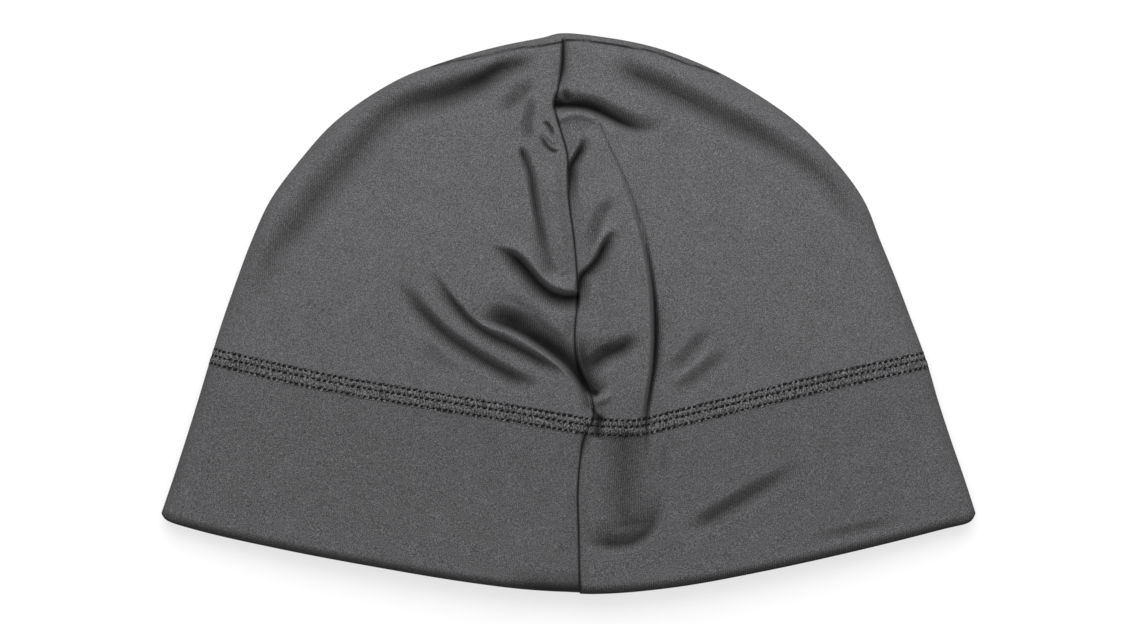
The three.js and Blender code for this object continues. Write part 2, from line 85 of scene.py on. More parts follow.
class SmoothLine:
    """A smooth line, held as short straight steps."""

    STEPS = 12
    SPANS = (((0, 1), (1, 2), (2, 3)), ((0, 2), (1, 3)), ((1, 2),))

    def __init__(self, samples: np.ndarray) -> None:
        """Measures the steps between the samples, which are places in millimetres, in order."""
        self.samples = samples
        steps = np.diff(samples, axis=0)
        self.lengths = np.hypot(steps[:, 0], steps[:, 1])
        self.arcs = np.concatenate([[0.0], np.cumsum(self.lengths)])

    @classmethod
    def through(cls, path: Path) -> "SmoothLine":
        """Lays a centripetal spline through a path's points, with STEPS samples to each stretch.

        Args:
            path: the points that it passes through, in millimetres.

        Returns:
            The line.
        """
        points = np.asarray(path, float)
        ends = np.vstack([2 * points[0] - points[1], points, 2 * points[-1] - points[-2]])
        pieces = []
        for first in range(len(points) - 1):
            level = ends[first:first + 4]
            knots = np.concatenate([[0.0], np.cumsum(np.linalg.norm(np.diff(level, axis=0), axis=1) ** 0.5)])
            t = np.linspace(knots[1], knots[2], cls.STEPS, endpoint=False)[:, None]
            for spans in cls.SPANS:
                level = [
                    ((knots[b] - t) * level[k] + (t - knots[a]) * level[k + 1]) / (knots[b] - knots[a])
                    for k, (a, b) in enumerate(spans)
                ]
            pieces.append(level[0])
        return cls(np.vstack([*pieces, points[-1:]]))

    @property
    def length(self) -> float:
        """The whole length."""
        return float(self.arcs[-1])

    def at(self, arc: np.ndarray) -> np.ndarray:
        """Returns the places at the given lengths along the line."""
        return np.stack([np.interp(arc, self.arcs, self.samples[:, k]) for k in (0, 1)], axis=-1)

    def y_at(self, x: np.ndarray) -> np.ndarray:
        """Returns y where the line, which runs left to right, has x."""
        return np.interp(x, self.samples[:, 0], self.samples[:, 1])

    def x_at(self, y: np.ndarray) -> np.ndarray:
        """Returns x where the line, which runs upwards, has y."""
        return np.interp(y, self.samples[:, 1], self.samples[:, 0])

    def within(self, reach: float, x: np.ndarray, y: np.ndarray) -> np.ndarray:
        """Returns which places lie inside the line's box, widened by reach."""
        low, high = self.samples.min(axis=0) - reach, self.samples.max(axis=0) + reach
        return (x > low[0]) & (x < high[0]) & (y > low[1]) & (y < high[1])

    def nearest(self, x: np.ndarray, y: np.ndarray) -> dict[str, np.ndarray]:
        """Finds the nearest place on the line.

        Args:
            x: places across.
            y: places up the cap, shaped as x.

        Returns:
            distance, left (is it left of the line), along (0 to 1) and the line's direction there, dx and dy.
        """
        best = {"distance": np.full(x.shape, np.inf), "left": np.zeros(x.shape, bool)}
        best.update({key: np.zeros(x.shape) for key in ("along", "dx", "dy")})
        steps = np.diff(self.samples, axis=0)
        for start, step, length, arc in zip(self.samples, steps, self.lengths, self.arcs):
            ux, uy = step / length
            run = np.clip((x - start[0]) * ux + (y - start[1]) * uy, 0.0, length)
            away_x = x - start[0] - run * ux
            away_y = y - start[1] - run * uy
            distance = np.hypot(away_x, away_y)
            closer = distance < best["distance"]
            found = {
                "distance": distance,
                "left": ux * away_y - uy * away_x > 0,
                "along": (arc + run) / self.arcs[-1],
                "dx": ux,
                "dy": uy,
            }
            for key, value in found.items():
                best[key] = np.where(closer, value, best[key])
        return best


@dataclass(frozen=True)
class Fold:
    """A ridge (rise above 0) or hollow (below 0) of the upper layer along a path.

    left and right are how far it reaches from the path, seen from the path's first point. fade_in and
    fade_out are the shares of the path over which it begins and dies out. crease is 0 for a round bottom and
    1 for a sharp one. The last number is how much of its colour the cloth loses down there: painted shade in
    the hollow. Below 0 it gains some: a painted highlight on the ridge.
    """

    name: str
    side: Side
    rise: float
    left: float
    right: float
    fade_in: float
    fade_out: float
    crease: float
    # painted shade in the colour; below 0, a painted highlight
    painted_shade: float
    path: Path


@dataclass(frozen=True)
class Groove:
    """A sewn seam that shows as a narrow groove along a path, with painted shade along it."""

    name: str
    depth: float
    reach: float
    # painted shade along the groove: the share of colour lost at its middle
    painted_shade: float
    path: Path


@dataclass
class Cloth:
    """A grid of places on the cap's cloth, one row of the grid for each row of cloth.

    around is how far each place lies round the cap, measured over the unfolded cloth. The fourth grid is
    painted
    shade: how much of its colour is lost in a fold, seam or at the hem, up to 1, and below 0 a painted
    highlight.
    """

    points: np.ndarray
    normals: np.ndarray
    around: np.ndarray
    painted_shading: np.ndarray

    def parts(self) -> tuple[np.ndarray, ...]:
        """Returns the four grids."""
        return self.points, self.normals, self.around, self.painted_shading

    def face(self, away: float) -> np.ndarray:
        """Returns the places moved along their normals."""
        return self.points + away * self.normals

    def columns(self, kept: slice) -> "Cloth":
        """Returns some of the grid's columns."""
        return Cloth(*(part[:, kept] for part in self.parts()))

    def backwards(self) -> "Cloth":
        """Returns the grid with its rows turned round."""
        turned = self.columns(slice(None, None, -1))
        turned.around = self.around[:, -1:] - turned.around
        return turned

    def then(self, other: "Cloth") -> "Cloth":
        """Joins another grid on at the end of each row.

        Args:
            other: the grid that follows; places that both hold are kept once.

        Returns:
            The whole grid.
        """
        same_place = 1e-6
        gap = np.linalg.norm(other.points[:, 0] - self.points[:, -1], axis=1)
        rest = other.columns(slice(int(gap.max() < same_place), None))
        rest.around = (self.around[:, -1] + gap)[:, None] + rest.around
        return Cloth(*(np.concatenate(pair, axis=1) for pair in zip(self.parts(), rest.parts())))


@dataclass
class CapForm:
    """The cap's outer shape: outlines, lofts and folds, in millimetres."""

    lower_round: float = 3.0
    upper_rise: float = 5.0
    upper_reach: float = 6.5
    swell_spread: float = 42.0
    swell_at_hem: float = 4.5
    swell_at_crown: float = 13.5
    swell_full_y: float = 20.0
    hem_dip: float = 2.2
    hem_dip_reach: float = 3.4
    # painted shade along the hem's rolled edge, and how far up it reaches
    hem_painted_shade: float = 0.9
    hem_painted_shade_reach: float = 3.8
    side_calm: float = 14.0
    seam_pinch: float = 1.2
    seam_pinch_reach: float = 4.5
    seam_calm: float = 1.2
    groove_spread: float = 4.0  # times a groove's reach, past which nothing of it is left
    run_on: float = 8.0
    apex: tuple[float, float] = (-2.8, 96.7)
    # Height, then the distance to the outline left and right of the middle.
    outline_rows: tuple[tuple[float, float, float], ...] = (
        (-69.6, 140.9, 140.9), (-57.6, 136.8, 137.0), (-43.8, 132.3, 132.2), (-30.0, 128.0, 127.7),
        (-17.0, 124.1, 123.9), (-2.4, 119.5, 118.5), (11.4, 114.7, 113.3), (25.2, 109.5, 107.7),
        (39.0, 103.1, 102.1), (52.8, 92.9, 92.0), (66.6, 80.2, 78.1), (80.4, 59.5, 57.2),
        (87.5, 41.0, 42.4), (92.3, 23.6, 28.2), (95.3, 8.6, 12.8),
    )
    stitch_path: Path = (
        (-126.0, -13.9), (-86.1, -22.8), (-46.4, -29.7), (-14.7, -34.8), (6.0, -38.3),
        (14.0, -38.9), (24.0, -38.8), (36.7, -35.9), (86.8, -23.8), (126.0, -15.2),
    )
    hem_path: Path = (
        (-140.9, -69.8), (-139.4, -71.2), (-128.9, -74.75), (-97.8, -81.7), (-66.8, -87.5), (-35.7, -92.7),
        (-10.0, -95.9), (10.0, -96.8), (36.7, -94.5), (67.8, -88.9), (98.9, -82.1), (128.9, -74.7),
        (139.2, -71.8), (140.9, -69.8),
    )
    seam_path: Path = (
        (3.9, -97.2), (3.5, -75.0), (3.2, -62.0), (4.0, -51.0), (5.6, -42.0), (8.4, -36.5), (8.6, -32.5),
        (7.2, -26.5), (4.4, -20.5), (2.5, -14.0), (2.2, -6.0), (3.1, 4.0), (3.1, 10.0), (1.9, 25.2),
        (0.1, 39.0), (0.0, 46.0), (-0.5, 55.0), (-2.6, 62.5), (-4.7, 71.0), (-3.4, 78.0), (-2.15, 85.5),
        (-2.0, 90.0), (-2.8, 96.7),
    )
    folds: tuple[Fold, ...] = ()
    grooves: tuple[Groove, ...] = ()
    stitch: SmoothLine = field(init=False)
    hem: SmoothLine = field(init=False)
    seam: SmoothLine = field(init=False)
    outline: SmoothLine = field(init=False)
    sides: dict[Side, SmoothLine] = field(init=False)

    def __post_init__(self) -> None:
        """Works out the smooth lines from the tables."""
        self.stitch = SmoothLine.through(self.stitch_path)
        self.hem = SmoothLine.through(self.hem_path)
        self.seam = SmoothLine.through(self.seam_path)
        left = [(-row[1], row[0]) for row in self.outline_rows]
        right = [(row[2], row[0]) for row in reversed(self.outline_rows)]
        whole = SmoothLine.through((*left, self.apex, *right)).samples
        top = len(left) * SmoothLine.STEPS
        self.sides = {Side.LEFT: SmoothLine(whole[:top + 1]), Side.RIGHT: SmoothLine(whole[top:][::-1])}
        first, last = (
            end + self.run_on * (end - inner) / np.linalg.norm(end - inner)
            for end, inner in ((whole[0], whole[1]), (whole[-1], whole[-2]))
        )
        self.outline = SmoothLine(np.vstack([first, whole, last]))

    def folded(self, x: np.ndarray, y: np.ndarray) -> tuple[np.ndarray, np.ndarray]:
        """Adds up what the folds do to the upper layer.

        Args:
            x: places across.
            y: places up the cap.

        Returns:
            The rise at each place, negative in a hollow, and the share of its colour kept: painted shade and
            highlight.
        """
        kept = np.ones_like(x)
        from_seam = x - self.seam.x_at(y)
        height = -self.seam_pinch * (1.0 - eased(np.abs(from_seam) / self.seam_pinch_reach))
        for fold in self.folds:
            line = SmoothLine.through(fold.path)
            touched = line.within(max(fold.left, fold.right), x, y)
            near = line.nearest(x[touched], y[touched])
            share = np.clip(near["distance"] / np.where(near["left"], fold.left, fold.right), 0.0, 1.0)
            section = between((1.0 - share ** 2) ** 2, (1.0 - share) ** 2, fold.crease)
            ends = np.ones_like(share)
            for run, fade in ((near["along"], fold.fade_in), (1.0 - near["along"], fold.fade_out)):
                if fade > 0:
                    ends = ends * eased(run / fade)
            if fold.side is not Side.BOTH:
                ends = ends * eased(1.0 + fold.side.value * from_seam[touched] / self.seam_calm)
            height[touched] += fold.rise * section * ends
            # painted shade in the fold's colour, or a painted highlight where the number is below 0
            kept[touched] *= 1.0 - fold.painted_shade * (1.0 - share) * (1.0 - share ** 2) * ends
        return height, kept

    def sewn(self, x: np.ndarray, y: np.ndarray) -> tuple[np.ndarray, np.ndarray]:
        """Adds up what the sewn seams do to the upper layer.

        Args:
            x: places across.
            y: places up the cap.

        Returns:
            How far they draw the cloth in, below zero, and the share of its colour kept under their painted
            shade.
        """
        height = np.zeros_like(x)
        kept = np.ones_like(x)
        for groove in self.grooves:
            line = SmoothLine.through(groove.path)
            touched = line.within(self.groove_spread * groove.reach, x, y)
            section = np.exp(-((line.nearest(x[touched], y[touched])["distance"] / groove.reach) ** 2))
            height[touched] -= groove.depth * section
            # painted shade down the groove
            kept[touched] *= 1.0 - groove.painted_shade * section
        return height, kept

    def cloth(self, x: np.ndarray, y: np.ndarray, layer: Layer) -> Cloth:
        """Finds the outer face of the cloth.

        Args:
            x: places across, row by row.
            y: places up the cap.
            layer: which of the two layers.

        Returns:
            The cloth there, with the outward normals of the unfolded cloth.
        """
        near = self.outline.nearest(x, y)
        depth = np.where(near["left"], 0.0, near["distance"])
        if layer is Layer.UPPER:
            share = np.minimum(depth / self.upper_reach, 1.0)
            arch = np.sqrt(1.0 - (1.0 - share) ** 2)
            above_hem = y - self.hem.y_at(x)
            rising = eased(above_hem / (self.swell_full_y - self.hem.y_at(x)))
            swell = self.swell_at_hem + rising * (self.swell_at_crown - self.swell_at_hem)
            dip = self.hem_dip * np.clip(1.0 - above_hem / self.hem_dip_reach, 0.0, 1.0) ** 2
            fall = np.exp(-depth / self.swell_spread)
            level_z = self.lower_round + self.upper_rise * arch + swell * (1.0 - fall)
            rise, kept = self.folded(x, y)
            drawn, seam_shade_kept = self.sewn(x, y)
            z = level_z + (rise - dip) * eased(depth / self.side_calm)
            z = z + drawn * eased(depth / self.lower_round)
            # painted shade: what folds and seams take from the colour, and a painted shade along the hem's
            # edge
            rim = np.clip(1.0 - above_hem / self.hem_painted_shade_reach, 0.0, 1.0)
            painted_shading = 1.0 - kept * seam_shade_kept * (1.0 - self.hem_painted_shade * rim)
            run = self.upper_reach * arch
            climb = self.upper_rise * (1.0 - share) + run * (swell / self.swell_spread) * fall
        else:
            climb = np.clip(1.0 - depth / self.lower_round, 0.0, 1.0)
            run = np.sqrt(1.0 - climb * climb)
            z = level_z = self.lower_round * (1.0 - run)
            painted_shading = np.zeros_like(x)
        size = np.maximum(np.hypot(climb, run), TINY)
        level = climb / size
        upright = layer.value * run / size
        beside_seam = eased(np.abs(x - self.seam.x_at(y)) / self.upper_reach)
        normal = np.stack([-near["dy"] * level * beside_seam, near["dx"] * level, upright], axis=-1)
        normal = normal / np.linalg.norm(normal, axis=-1, keepdims=True)
        steps = np.hypot(np.diff(x, axis=-1), np.diff(level_z, axis=-1))
        around = np.concatenate([np.zeros_like(x[..., :1]), np.cumsum(steps, axis=-1)], axis=-1)
        return Cloth(np.stack([x, y, z], axis=-1), normal, around, painted_shading)

    def side_crossing(self, side: Side, above: float) -> tuple[float, np.ndarray]:
        """Finds where a side's outline passes a given way above the middle stitch row.

        Args:
            side: left or right.
            above: the way above the row.

        Returns:
            The length along the outline and the place.
        """
        line = self.sides[side]
        height = line.samples[:, 1] - self.stitch.y_at(line.samples[:, 0])
        arc = float(np.interp(above, height, line.arcs))
        return arc, line.at(np.array(arc))


@dataclass(frozen=True)
class Fineness:
    """How many columns a row of cloth has from the back seam over the side fold to the front seam.

    Each of steps is the share of the way up to the round of the side fold where its columns end, and their
    number; turn and lower_turn are the columns in that round and lower those of the layer underneath.
    edge_share is the most of a short row that the round takes up.
    """

    steps: tuple[tuple[float, int], ...] = ((0.012, 10), (0.05, 12), (0.46, 136), (1.0, 40))
    turn: int = 10
    lower_turn: int = 7
    lower: int = 16
    edge_share: float = 0.4

    def layers(self, lengths: np.ndarray, form: CapForm) -> Iterator[tuple[Layer, np.ndarray]]:
        """Places the columns of both layers.

        Args:
            lengths: each row's length.
            form: the cap, which says how far the round of the side fold reaches in.

        Yields:
            Each layer, and for each row the shares of the way from the seam, 0, to the side fold, 1. The
            upper layer's run outward from the back seam, and the lower one's inward to the front seam.
        """
        starts = (0.0, *(share for share, _ in self.steps))
        inner = np.concatenate([
            np.linspace(start, end, count, endpoint=False) for start, (end, count) in zip(starts, self.steps)
        ])
        turn = (np.minimum(form.upper_reach, self.edge_share * lengths) / lengths)[:, None]
        angles = np.linspace(0.5 * math.pi, 0.0, self.turn + 1)
        yield Layer.UPPER, np.concatenate([(1.0 - turn) * inner, 1.0 - turn * (1.0 - np.cos(angles))], axis=1)
        turn = (np.minimum(form.lower_round, self.edge_share * lengths) / lengths)[:, None]
        angles = np.linspace(0.0, 0.5 * math.pi, self.lower_turn + 1)[1:]
        inner = np.linspace(1.0, 0.0, self.lower + 1)[1:]
        yield Layer.LOWER, np.concatenate([1.0 - turn * (1.0 - np.cos(angles)), (1.0 - turn) * inner], axis=1)


def linked(name: str, data: bpy.types.ID) -> bpy.types.Object:
    """Returns a new object of the scene that shows the data."""
    thing = bpy.data.objects.new(name, data)
    bpy.context.scene.collection.objects.link(thing)
    return thing


def carry(mesh: bpy.types.Mesh, name: str, values: np.ndarray) -> None:
    """Writes a number or a vector for each point of a mesh, as an attribute of that name."""
    kind, key = ("FLOAT", "value") if values.ndim == 1 else ("FLOAT_VECTOR", "vector")
    mesh.attributes.new(name, kind, "POINT").data.foreach_set(key, values.astype(np.float32).ravel())


class ClothWall:
    """Makes closed walls of cloth, the inner face in a coarser net than the outer one.

    A net holds two numbers for each place: the point's number, and how far round the cap it lies.
    """

    SHARP_EDGE = math.radians(62)
    INNER_STEP = 2

    @staticmethod
    def _cells(net: np.ndarray) -> np.ndarray:
        """Returns the four corners of each cell of a net."""
        return np.stack([net[:-1, :-1], net[:-1, 1:], net[1:, 1:], net[1:, :-1]], axis=2).reshape(-1, 4, 2)

    @classmethod
    def _kept(cls, count: int) -> np.ndarray:
        """Returns which of count rows or columns the inner face keeps, the last one among them."""
        return np.unique(np.append(np.arange(0, count, cls.INNER_STEP), count - 1))

    @staticmethod
    def _rim(outside: np.ndarray, inside: np.ndarray, places: np.ndarray, inner_first: bool) -> list[list]:
        """Closes the edge between the two faces.

        Args:
            outside: the net along the outer face's edge.
            inside: the net along the inner face's edge.
            places: which outer points the inner ones lie under.
            inner_first: turns the faces round.

        Returns:
            Each face's corners.
        """
        strips = [
            [*outside[a:b + 1].tolist(), inside[k + 1].tolist(), inside[k].tolist()]
            for k, (a, b) in enumerate(zip(places[:-1], places[1:]))
        ]
        return [strip[::-1] for strip in strips] if inner_first else strips

    @staticmethod
    def _peak(outside: np.ndarray, inside: np.ndarray, top: int) -> list[list]:
        """Closes the last row of both faces to a peak.

        Args:
            outside: the net along the outer face's last row.
            inside: the net along the inner face's last row.
            top: the number of the outer face's peak; the inner face's comes next.

        Returns:
            Each face's corners.
        """
        faces = []
        for line, peak, turned in ((outside.tolist(), top, False), (inside.tolist(), top + 1, True)):
            for a, b in zip(line[:-1], line[1:]):
                corner = [peak, 0.5 * (a[1] + b[1])]
                faces.append([b, a, corner] if turned else [a, b, corner])
        for end, turned in ((0, False), (-1, True)):
            way = outside[end, 1].item()
            numbers = (outside[end, 0].item(), top, top + 1, inside[end, 0].item())
            strip = [[number, way] for number in numbers]
            faces.append(strip[::-1] if turned else strip)
        return faces

    @classmethod
    def build(
        cls, name: str, outer: np.ndarray, inner: np.ndarray, cloth: Cloth,
        ring: bool = False, tip: np.ndarray | None = None,
    ) -> bpy.types.Object:
        """Closes an outer and an inner net into one solid.

        Args:
            name: the object's name.
            outer: the outer face's points, row by row, in millimetres.
            inner: the inner face's points.
            cloth: the cloth that both belong to.
            ring: whether each row closes on itself.
            tip: the outer and inner place where all rows meet past the last row, if they do.

        Returns:
            A smooth mesh object, its faces outward, with a UV map that counts metres of cloth.
        """
        skin = outer.reshape(-1, 3)
        net = np.stack([np.arange(len(skin)).reshape(outer.shape[:2]), cloth.around], axis=-1)
        if ring:
            closing = net[:, :1].copy()
            closing[..., 1] = net[:, -1:, 1] + np.linalg.norm(outer[:, :1] - outer[:, -1:], axis=2)
            net = np.concatenate([net, closing], axis=1)
        rows, across = cls._kept(net.shape[0]), cls._kept(net.shape[1])
        lining = inner[np.ix_(rows, across[:-1] if ring else across)]
        top = len(skin) + lining.shape[0] * lining.shape[1]
        inside = net[np.ix_(rows, across)]
        inside[:, :lining.shape[1], 0] = np.arange(len(skin), top).reshape(lining.shape[:2])
        if ring:
            inside[:, -1, 0] = inside[:, 0, 0]
        cells = cls._cells(net)
        faces = [*cells.tolist(), *cls._cells(inside)[:, ::-1].tolist()]
        faces += cls._rim(net[0], inside[0], across, True)
        faces += cls._rim(net[-1], inside[-1], across, False) if tip is None else []
        if not ring:
            faces += cls._rim(net[:, 0], inside[:, 0], rows, False)
            faces += cls._rim(net[:, -1], inside[:, -1], rows, True)
        points = [skin, lining.reshape(-1, 3)]
        if tip is not None:
            faces += cls._peak(net[-1], inside[-1], top)
            points.append(tip)
        first = cells[..., 0].astype(int)
        corners = skin[first]
        facing = np.cross(corners[:, 2] - corners[:, 0], corners[:, 3] - corners[:, 1])
        if (facing * cloth.normals.reshape(-1, 3)[first[:, 0]]).sum() < 0:
            faces = [face[::-1] for face in faces]
        return cls._link(name, np.concatenate(points), faces, cloth.painted_shading.ravel())

    @classmethod
    def _link(cls, name: str, points: np.ndarray, faces: list[list], painted_shading: np.ndarray) -> bpy.types.Object:
        """Writes the mesh and links its object.

        Args:
            name: the object's name.
            points: all points in millimetres.
            faces: each face's corners, as in a net.
            painted_shading: the painted shade at the first points, those of the outer face: how much colour
                is lost.

        Returns:
            The object.
        """
        mesh = bpy.data.meshes.new(name)
        mesh.from_pydata((points * MM).tolist(), [], [[int(number) for number, _ in face] for face in faces])
        corners = np.array([corner for face in faces for corner in face])
        up_cloth = points[corners[:, 0].astype(int), 1]
        cloth_map = np.stack([corners[:, 1], up_cloth], axis=1) * MM
        mesh.uv_layers.new(name="Cloth").data.foreach_set("uv", cloth_map.astype(np.float32).ravel())
        mesh.shade_smooth()
        mesh.set_sharp_from_angle(angle=cls.SHARP_EDGE)
        carry(mesh, "painted_shading", np.pad(painted_shading, (0, len(points) - len(painted_shading))))
        return linked(name, mesh)


def add_node(
    tree: Tree, kind: str, settings: dict | None = None, inputs: dict | None = None
) -> bpy.types.Node:
    """Adds a node to a tree.

    Args:
        tree: the tree.
        kind: the node's type.
        settings: the node's own properties.
        inputs: by input name or number, a value or the output that feeds it.

    Returns:
        The node.
    """
    node = tree.nodes.new(kind)
    for name, value in (settings or {}).items():
        setattr(node, name, value)
    for name, value in (inputs or {}).items():
        if isinstance(value, Socket):
            tree.links.new(value, node.inputs[name])
        else:
            node.inputs[name].default_value = value
    return node


def compute(tree: Tree, operation: str, *values: Socket | float) -> Socket:
    """Adds one step of arithmetic and returns its result."""
    return add_node(tree, "ShaderNodeMath", {"operation": operation}, dict(enumerate(values))).outputs[0]


def scaled(tree: Tree, vector: Socket, share: Socket) -> Socket:
    """Adds a vector or colour that is scaled by a share, and returns it."""
    node = add_node(tree, "ShaderNodeVectorMath", {"operation": "SCALE"}, {0: vector, "Scale": share})
    return node.outputs[0]


def linear(colour: str) -> tuple[float, float, float, float]:
    """Turns an sRGB hex colour into linear red, green, blue and an alpha of 1."""
    parts = [int(colour[k:k + 2], 16) / 255.0 for k in (1, 3, 5)]
    return (*[p / 12.92 if p <= 0.04045 else ((p + 0.055) / 1.055) ** 2.4 for p in parts], 1.0)


def new_material(name: str) -> bpy.types.Material:
    """Returns a new material whose node tree is empty."""
    material = bpy.data.materials.new(name)
    material.use_nodes = True
    material.node_tree.nodes.clear()
    return material


def surface(tree: Tree, inputs: dict) -> None:
    """Adds the shader with these inputs and gives it to the tree's output."""
    shader = add_node(tree, "ShaderNodeBsdfPrincipled", inputs=inputs)
    add_node(tree, "ShaderNodeOutputMaterial", inputs={"Surface": shader.outputs["BSDF"]})


def noise(tree: Tree, place: Socket, scale: float, detail: float, roughness: float) -> Socket:
    """Adds noise with scale of its bumps to the metre, and returns its value around 0.5."""
    return add_node(tree, "ShaderNodeTexNoise", inputs={
        "Vector": place, "Scale": scale, "Detail": detail, "Roughness": roughness,
    }).outputs[0]


def kept_under_painted_shade(tree: Tree, painted_shading: Socket, least: float, clamp: bool) -> Socket:
    """Adds how much of its colour cloth or thread keeps under painted shade, or gains under a painted
    highlight.

    Args:
        tree: the shader's tree.
        painted_shading: the mesh's own number for painted shade, 1 where it is darkest.
        least: what is kept there.
        clamp: whether a number below 0 counts as 0, so that no painted highlight lightens the colour.

    Returns:
        The share that is kept.
    """
    return add_node(tree, "ShaderNodeMapRange", {"clamp": clamp}, {
        "Value": painted_shading, "To Min": 1.0, "To Max": least,
    }).outputs["Result"]


@dataclass(frozen=True)
class HeatheredJersey:
    """Brushed weft-knit jersey of polyester and wool-like fibres, dyed in the fibre and blended.

    That gives the eye a charcoal grey of fine light and dark flecks that run along the columns of stitches, a
    dry, matt face with a faint bloom at grazing angles, and knit columns that show only close by. Painted
    shade darkens it in folds, seams and at the hem, with painted furrows between the columns there, and
    painted highlights lighten it on ridges.
    """

    name: str
    fleck_dark: str = "#323233"
    fleck_mid: str = "#454546"
    fleck_light: str = "#5c5c5e"
    fleck_size: float = 0.34  # mm across; real flecks are 0.1 to 0.2 mm, drawn coarser so that they show
    fleck_stretch: float = 1.2
    fleck_range: tuple[float, float] = (0.32, 0.68)  # of the noise, over which dark turns to light
    fleck_relief: float = 0.6
    cloud_scale: float = 110.0  # bumps to the metre, so each cloud of one fibre is about 9 mm across
    cloud_share: float = 0.1
    wale_pitch: float = 0.77  # mm between columns of stitches, as counted where the cloth lies taut
    course_pitch: float = 0.62  # mm between stitches up a column
    wale_depth: float = 0.07
    wale_contrast: float = 0.4
    stitch_slant: float = 1.2
    stitch_relief: float = 0.8
    bump_strength: float = 0.55
    roughness: float = 0.92
    sheen: float = 0.02
    # share of colour kept where the painted shade is darkest
    fully_shaded_keeps: float = 0.04

    def material(self) -> bpy.types.Material:
        """Builds the shader.

        Returns:
            The material.
        """
        material = new_material(self.name)
        tree = material.node_tree
        place = add_node(tree, "ShaderNodeTexCoord").outputs
        # the painted shade of folds, seams and hem, and the painted highlights on ridges
        painted_shading = add_node(tree, "ShaderNodeAttribute", {"attribute_name": "painted_shading"}).outputs["Fac"]
        flecks = self._flecks(tree, place["Object"])
        tones = add_node(tree, "ShaderNodeValToRGB", inputs={"Fac": flecks})
        stops = tones.color_ramp.elements
        for stop, position, colour in zip(stops, self.fleck_range, (self.fleck_dark, self.fleck_light)):
            stop.position, stop.color = position, linear(colour)
        stops.new(0.5).color = linear(self.fleck_mid)
        columns, relief = self._knit(tree, place["UV"], painted_shading)
        # the colour scaled by the painted shade and highlights, and by the painted furrows of the knit
        tone = compute(tree, "MULTIPLY", kept_under_painted_shade(tree, painted_shading, self.fully_shaded_keeps, False), columns)
        bump = add_node(tree, "ShaderNodeBump", inputs={
            "Strength": self.bump_strength, "Distance": self.wale_depth * MM,
            "Height": compute(tree, "MULTIPLY_ADD", flecks, self.fleck_relief, relief),
        })
        surface(tree, {
            "Base Color": scaled(tree, tones.outputs["Color"], tone), "Roughness": self.roughness, "IOR": 1.5,
            "Specular IOR Level": 0.2, "Sheen Weight": self.sheen, "Sheen Roughness": 0.5,
            "Normal": bump.outputs["Normal"],
        })
        return material

    def _flecks(self, tree: Tree, place: Socket) -> Socket:
        """Adds the mixed fibres: fine flecks along the knit, over soft clouds where more of one fibre lies.

        Args:
            tree: the shader's tree.
            place: the place on the cloth, in metres.

        Returns:
            A value around 0.5.
        """
        drawn = add_node(tree, "ShaderNodeMapping", inputs={
            "Vector": place, "Scale": (1.0, 1.0 / self.fleck_stretch, 1.0),
        })
        fleck_scale = 1.0 / (self.fleck_size * MM)
        fine = noise(tree, drawn.outputs["Vector"], fleck_scale, detail=1.0, roughness=0.6)
        clouds = noise(tree, place, self.cloud_scale, detail=4.0, roughness=0.6)
        mixed = compute(tree, "MULTIPLY_ADD", clouds, self.cloud_share, -0.5 * self.cloud_share)
        return compute(tree, "ADD", fine, mixed)

    def _knit(self, tree: Tree, cloth_map: Socket, painted_shading: Socket) -> tuple[Socket, Socket]:
        """Adds the knit: columns of slanted half stitches, and the dark furrows between them.

        The furrows are painted into the colour only where there is painted shade, most of all where it is at
        half strength.

        Args:
            tree: the shader's tree.
            cloth_map: metres round and up the cloth.
            painted_shading: the painted shade there.

        Returns:
            A share around 1 to scale the colour by, and the relief's height.
        """
        parts = add_node(tree, "ShaderNodeSeparateXYZ", inputs={"Vector": cloth_map}).outputs
        wales = compute(tree, "MULTIPLY", parts["X"], 1.0 / (self.wale_pitch * MM))
        courses = compute(tree, "MULTIPLY", parts["Y"], 1.0 / (self.course_pitch * MM))
        column = compute(tree, "PINGPONG", wales, 0.5)
        slanted = compute(tree, "MULTIPLY_ADD", column, self.stitch_slant, courses)
        stitch = compute(tree, "PINGPONG", slanted, 0.5)
        ridge = compute(tree, "SINE", compute(tree, "MULTIPLY", column, 2.0 * math.pi))
        relief = compute(tree, "MULTIPLY_ADD", stitch, self.stitch_relief, ridge)
        half_shaded = compute(tree, "MULTIPLY", painted_shading, compute(tree, "SUBTRACT", 1.0, painted_shading))
        # The swing of a column and the half-shaded cloth both reach a quarter, so 16 brings their product to
        # 1.
        depth = compute(tree, "MULTIPLY", half_shaded, 16.0 * self.wale_contrast)
        wave = compute(tree, "SUBTRACT", column, 0.25)
        return compute(tree, "MULTIPLY_ADD", wave, depth, 1.0), relief


